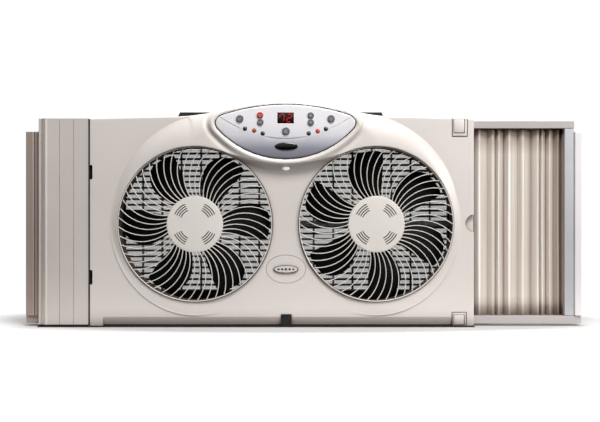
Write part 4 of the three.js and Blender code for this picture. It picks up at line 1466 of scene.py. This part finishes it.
# ---------------- side panel and extenders

PANEL_FACE = -44.8

def panel_front(left, right):
    """The side panel's front as (x, y), from its left rim over a flute, a bead and two grooves."""
    rim = [(left, -42.2), (left + 0.4, -42.6), (left + 2.0, -42.6), (left + 2.4, -42.2)]
    flute = []
    for i in range(9):  # deep on its left, and running out on its right
        t = i / 8
        flute.append((left + 2.6 + 6.6 * t, FACE + 0.2 + 5.2 * (1 - t) ** 1.6 * min(1.0, 8 * t + 0.4)))
    bead = [(9.9, -46.0), (11.0, -46.5), (12.2, -46.2), (13.2, -45.0), (14.0, PANEL_FACE)]
    bead = [(left + x, y) for x, y in bead]
    edge = [(right - 2.4, PANEL_FACE), (right - 2.0, -45.2), (right - 0.9, -45.2), (right, -44.0)]
    return [*rim, *flute, *bead, *panel_groove(-346.0), *panel_groove(-324.4), *edge]


def panel_groove(x):
    """A square groove with softened edges."""
    near = [(x - 0.9, PANEL_FACE), (x - 0.6, -44.7), (x - 0.5, -43.2)]
    return [*near, (x + 0.5, -43.2), (x + 0.6, -45.0), (x + 1.6, PANEL_FACE)]


def side_panel():
    """The clip-on panel: a shaped front, and a hollow for the left-hand extender."""
    low, high = corners("extension_panel")
    left, right, back = low[0], high[0], high[1]
    front = panel_front(left, right)
    outline = [(left, -36.5), *front, (right, back), (left, back), (left, -12.6), (left + WALL, -12.6)]
    outline += [(left + WALL, back - WALL), (right - WALL, back - WALL), (right - WALL, FACE + 3.4)]
    outline += [(left + 11, FACE + 3.4), (left + 8.4, -41.0), (left + 5.0, -38.0)]
    outline += [(left + WALL, -37.4), (left + WALL, -36.5)]
    cap = [(left, back), *front, (right, back)]
    parts = [
        upright(outline, low[2] + WALL, high[2] - WALL),
        upright(cap, low[2], low[2] + WALL),
        upright(cap, high[2] - WALL, high[2]),
    ]
    node = ("extension_panel",)
    add_piece("side_panel_cover", parts, PANEL_PLASTIC, nodes=node, smooth_angle=9.0)


FOLD_SHARES = (13.7, 16.0, 17.3, 7.0, 13.7, 17.1, 19.5, 5.0, 9.7, 10.8, 6.0)  # widths of the folds
FOLD_POINTS, FILM_ROWS = 14, 14
EXTENDER_FINISH = (
    # side, rails, stile, flange
    ("right", RAIL_PLASTIC, STILE_PLASTIC, FLANGE_PLASTIC),
    # the left-hand frame wears the painted-shade taupe
    ("left", TAUPE_SHADE, TAUPE_SHADE, TAUPE_SHADE),
)


def pleat_profile(low, high, shares, rng):
    """The film's zigzag as (x, y) points: uneven folds whose legs bow a little."""
    front, back = low[1] + PLEAT_INSET, high[1] - 0.8
    total = sum(shares)
    x = low[0]
    profile = []
    for share in shares:
        width = (high[0] - low[0]) * share / total
        near = front + rng.uniform(0.0, 0.8)
        far = back - rng.uniform(0.0, 2.0)
        split = width * rng.uniform(0.5, 0.66)
        for t in (0.0, 0.04, 0.1, 0.3, 0.6, 0.9, 0.96):
            profile.append((x + split * t, near + (far - near) * t + 0.9 * math.sin(math.pi * t)))
        for t in (0.0, 0.04, 0.1, 0.4, 0.7, 0.9, 0.96):
            bow = 0.6 * math.sin(math.pi * t)
            profile.append((x + split + (width - split) * t, far + (near - far) * t - bow))
        x += width
    return [*profile, (high[0], front + 1.0)]


def pleat_sheet(name, node, shares, seed):
    """A folded film: ridges to the front, valleys to the back, slightly wavy like used vinyl."""
    low, high = corners(node)
    rng = random.Random(seed)
    profile = pleat_profile(low, high, shares, rng)
    waves = [rng.uniform(0, 2 * math.pi) for _ in shares]
    bm = bmesh.new()
    grid = []
    for i in range(FILM_ROWS + 1):
        share = i / FILM_ROWS
        z = low[2] + (high[2] - low[2]) * share
        line = []
        for k, (x, y) in enumerate(profile):
            start = waves[min(k // FOLD_POINTS, len(waves) - 1)]
            wave = 0.5 * math.sin(math.pi * share) * math.sin(start + 2.2 * share)
            edge = min(min(x - low[0], high[0] - x) / 8, 1)
            line.append(bm.verts.new(((x + wave * edge) * MM, y * MM, z * MM)))
        grid.append(line)
    for here, there in zip(grid, grid[1:]):
        for k in range(len(profile) - 1):
            bm.faces.new([here[k], here[k + 1], there[k + 1], there[k]])
    piece = place(name, finish_mesh(bm, name, 60.0), FILM)
    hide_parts(node)
    thicken(piece, 0.5, offset=0.0)
    return piece


def extenders():
    """Both sliding frames, with the film that joins each of them to the housing."""
    for side, rail, stile, flange in EXTENDER_FINISH:
        finished_copy(f"{side}_top_rail", rail, 0.8, 3)
        finished_copy(f"{side}_bottom_rail", rail, 0.8, 3)
        finished_copy(f"{side}_stile", stile, 1.0, 3)
        finished_copy(f"{side}_flange", flange, 1.4, 3)
    right = pleat_sheet("right_film", "right_pleats", FOLD_SHARES, 4)
    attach(right, "housing")
    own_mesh(right)
    left = pleat_sheet("left_film", "left_pleats", FOLD_SHARES[:10], 9)
    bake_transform(left)


# ---------------- the rest of the body

CLIP_TOP = CORNER_HEIGHT - 0.3
CORNER_CLIPS = (
    # node, cover plate, tab: each left, right, low and high
    ("corner_clip_top", (256.2, 277.0, 292.0, CLIP_TOP), (257.6, 273.2, 297.0, CLIP_TOP - 0.9)),
    ("corner_clip_bottom", (255.8, 275.4, 2.4, 20.8), (257.6, 272.6, 3.4, 18.4)),
)
SCREW_HEAD, SCREW_SHANK = 3.6, 1.9

def corner_clips():
    """Snap clips at the right-hand corners: a framed plate with a raised tab in a gap, darkened by a black
    insert of painted shade.
    """
    for node, frame_box, tab in CORNER_CLIPS:
        hole = four_corners(tab[0] - 0.4, tab[1] + 1.0, tab[2] - 1.0, tab[3] + 0.4)
        framed = plate(four_corners(*frame_box), [hole], FACE - 0.7, FACE + 1.5)
        raised = prism(four_corners(*tab), FACE - 1.8, FACE + 1.5)
        add_piece(node + "_tab", [framed, raised], BODY_PLASTIC, nodes=(node,), bevel=(0.3, 2))
        # painted shade: a black insert that darkens the gap around the tab
        add_piece(node + "_gap", [prism(hole, FACE - 0.15, FACE + 1.4)], SHADOW_BLACK)


def screw_head(node):
    """A pan-head screw with a cross recess."""
    x, z, _, tip, top = round_spot(node)
    seat = BACK + GAP
    arm, reach = 0.55, 2.2  # half width and length of the cross's arms

    def crown(a, b):
        out = np.hypot(a - x, b - z) / SCREW_HEAD
        in_cross = (np.minimum(np.abs(a - x), np.abs(b - z)) < arm - 0.05) & (out < 0.6)
        return top - 0.9 * out**2 - np.where(in_cross, 1.0, 0.0)

    cross = np.array([(reach, arm), (arm, arm), (arm, reach), (-arm, reach), (-arm, arm), (-reach, arm)])
    cross = np.vstack([cross, -cross]) + [x, z]
    lines = [(cross, True), (grown(cross, -0.12), True)]
    grids = [(x - SCREW_HEAD, x + SCREW_HEAD, z - SCREW_HEAD, z + SCREW_HEAD, 0.7)]
    cap = plate(circle(x, z, SCREW_HEAD, 32), [], seat, crown, lines, grids)
    shank = [(0, tip), (SCREW_SHANK, tip + 0.4), (SCREW_SHANK, seat + 0.2), (0, seat + 0.2)]
    add_piece(node + "_head", [cap, lathe(shank, x, z, 20)], ZINC, nodes=(node,))


def carried_over():
    """CAD nodes whose shape is right, with rounded edges and their own finish."""
    finished_copy("rear_housing", BODY_PLASTIC, 0.8, 2, "rear_shell")
    finished_copy("carry_handle", HANDLE_PLASTIC, 1.2, 3)
    finished_copy("cord_gland", BLACK_PLASTIC, 0.8, 2)
    for name in ("top", "bottom"):
        finished_copy(f"extension_clip_{name}", BLACK_PLASTIC, 0.5, 2)
    for side in FANS:
        finished_copy(f"motor_{side}", BLACK_PLASTIC, 0.8, 2)
        finished_copy(f"motor_bracket_{side}", ZINC, 0.4, 2)
        finished_copy(f"spindle_{side}", ZINC, 0.3, 2)
    for node in ("control_board", "power_board"):
        finished_copy(node, CIRCUIT, 0.2, 1)


def painted_highlight_dome():
    """A small glowing white dome under the middle of the head: a painted highlight."""
    x, z, across, up, proud = 0.6, 242.6, 6.0, 3.4, 2.6

    def dome(a, b):
        reach = ((a - x) / across) ** 2 + ((b - z) / up) ** 2
        return FACE - proud * np.sqrt(np.maximum(1 - reach, 0.0))

    grids = [(x - across, x + across, z - up, z + up, 0.8)]
    solid = plate(ellipse(x, z, across, up, 48), [], dome, FACE + 1.5, grids=grids)
    add_piece("painted_highlight_dome", [solid], HIGHLIGHT_GLOW, smooth_angle=60.0)


FOOT_ENDS = ((LEFT + 0.5, CHIN_LEFT), (CHIN_RIGHT, RIGHT - 0.5))  # beside the chin


def strip(left, right, low, high, front, back):
    """A box whose front and back are given as distances behind the flat face."""
    return prism(four_corners(left, right, low, high), FACE + front, FACE + back)


def painted_shadow_strips():
    """Black strips of painted shadow: along the foot, on the floor just in front of it, and in the seam of
    the side panel.
    """
    low, high = corners("extension_panel")
    foot = strip(LEFT, RIGHT, 0.1, FOOT_SHADOW, 3.8, 9.0)
    panel_foot = strip(low[0] + 0.4, high[0], 0.1, FOOT_SHADOW, -1.9, 5.0)
    # painted contact shadow: a thin black sheet on the floor in front of the foot
    floor_shadow = strip(low[0] + 0.4, RIGHT, 0.05, 0.8, -8.0, 9.0)
    seam = strip(high[0] - 0.9, LEFT + 0.9, FOOT_SHADOW, high[2] - 1.0, 0.1, 6.0)
    ends = [strip(*span, 0.1, FOOT_SHADOW - 1.0, 0.1, 9.0) for span in FOOT_ENDS]
    add_piece("foot_shadow_strip", [foot, panel_foot, floor_shadow, seam, *ends], SHADOW_BLACK)


def flange_light_and_shade():
    """A raised bead in a painted highlight and a dark line of painted shade down the left-hand flange."""
    node = "left_flange"
    low, high = corners(node)
    span = (low[2] + 1.0, high[2] - 1.0)
    bead = prism(four_corners(-389.6, -388.0, *span), low[1] - 0.7, low[1] + 1.0)
    line = prism(four_corners(-387.0, -385.8, *span), low[1] - 0.06, low[1] + 0.5)
    add_piece("left_flange_highlight_bead", [bead], TAUPE_HIGHLIGHT, BODY_OF[node], bevel=(0.3, 2))
    add_piece("left_flange_shade_line", [line], SHADE_BROWN, BODY_OF[node])


def duct_shade_rings():
    """A thin dark ring of painted shade inside each opening's collar."""
    inner, outer = OPENING - 0.9, OPENING - 0.2
    front, back = FACE - 1.4, COLLAR_BACK + 0.5
    profile = [(inner, front), (outer, front), (outer, back), (inner, back)]
    for side, x in FANS.items():
        add_piece(f"duct_shade_ring_{side}", [ring(profile, x, FAN_Z, 128)], SHADE_BROWN)


# ---------------- floor, light and camera


SKY_LOW, SKY_HIGH = 0.01, 0.42  # light from below the horizon and from above it
LIGHTS = (
    # name, place, aim, size, power, colour
    ("softbox", (0.25, -1.0, 1.6), (0.0, 0.0, 0.15), 0.7, 27.5, (1.0, 0.99, 0.985)),
    ("side", (1.1, -0.9, 0.6), (0.2, 0.0, 0.16), 0.5, 8.0, (1.0, 0.985, 0.965)),
    ("top", (0.0, 0.6, 2.6), (0.0, -0.05, 0.0), 1.6, 46.0, (1.0, 1.0, 1.0)),
)


def floor_sheet():
    """The floor: an oval sheet of paper."""
    mesh = bpy.data.meshes.new("studio_floor")
    rim = [(x * MM, y * MM, 0.0) for x, y in ellipse(*FLOOR_CENTRE, *FLOOR_OVAL, 96)]
    mesh.from_pydata(rim, [], [tuple(range(len(rim)))])
    place("studio_floor", mesh, paper_floor())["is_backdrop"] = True


def sky_and_backdrop():
    """A graded sky that lights the part, and a plain white backdrop in view."""
    world = bpy.data.worlds.new("studio_world")
    bpy.context.scene.world = world
    world.use_nodes = True
    graph = Graph(world.node_tree)
    sky = graph.tree.nodes["Background"]
    sky.inputs["Color"].default_value = (1.0, 0.985, 0.97, 1.0)
    split = graph.node("ShaderNodeSeparateXYZ")
    graph.link(graph.node("ShaderNodeTexCoord").outputs["Generated"], split.inputs["Vector"])
    graph.link(graph.span(split.outputs["Z"], SKY_LOW, SKY_HIGH, -0.15, 0.35), sky.inputs["Strength"])
    backdrop = graph.node("ShaderNodeBackground")
    backdrop.inputs["Color"].default_value = WHITE
    backdrop.inputs["Strength"].default_value = 1.05
    choose = graph.node("ShaderNodeMixShader")
    graph.link(graph.node("ShaderNodeLightPath").outputs["Is Camera Ray"], choose.inputs["Fac"])
    graph.link(sky.outputs["Background"], choose.inputs[1])
    graph.link(backdrop.outputs["Background"], choose.inputs[2])
    graph.link(choose.outputs["Shader"], graph.tree.nodes["World Output"].inputs["Surface"])


def studio():
    """The floor, the sky and the lights."""
    floor_sheet()
    sky_and_backdrop()
    for name, spot, aim, size, power, colour in LIGHTS:
        data = bpy.data.lights.new(name, "AREA")
        data.shape = "DISK"
        data.size = size
        data.energy = power
        data.color = colour
        made = bpy.data.objects.new(name, data)
        made.location = spot
        made.rotation_euler = (Vector(aim) - Vector(spot)).to_track_quat("-Z", "Y").to_euler()
        bpy.context.scene.collection.objects.link(made)
    bpy.context.scene.view_settings.view_transform = "Standard"


CAMERA_PLACE, CAMERA_LENS = (0.022, -1.555, 0.177), 59.2


def camera():
    data = bpy.data.cameras.new("camera")
    data.lens = CAMERA_LENS
    data.sensor_width = 36.0
    made = bpy.data.objects.new("camera", data)
    made.location = CAMERA_PLACE
    made.rotation_euler = (math.radians(90), 0, 0)
    bpy.context.scene.collection.objects.link(made)
    bpy.context.scene.camera = made


# ---------------- everything together

camera()
studio()
front_shell()
fascia()
for button_node in BUTTONS:
    button(button_node)
for lamp_node in LAMPS:
    lamp(lamp_node)
display()
infrared_window()
badge()
for fan_side in FANS:
    front_grille(fan_side)
    rear_grille(fan_side)
    insect_screen(fan_side)
    impeller(fan_side)
side_panel()
extenders()
corner_clips()
for screw_node in [node for node in BODY_OF if node.startswith("housing_screw")]:
    screw_head(screw_node)
painted_highlight_dome()
painted_shadow_strips()
duct_shade_rings()
flange_light_and_shade()
carried_over()

sizes = {"cad": cad_box, "visual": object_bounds()}
sizes = {name: [list(map(float, corner)) for corner in box] for name, box in sizes.items()}
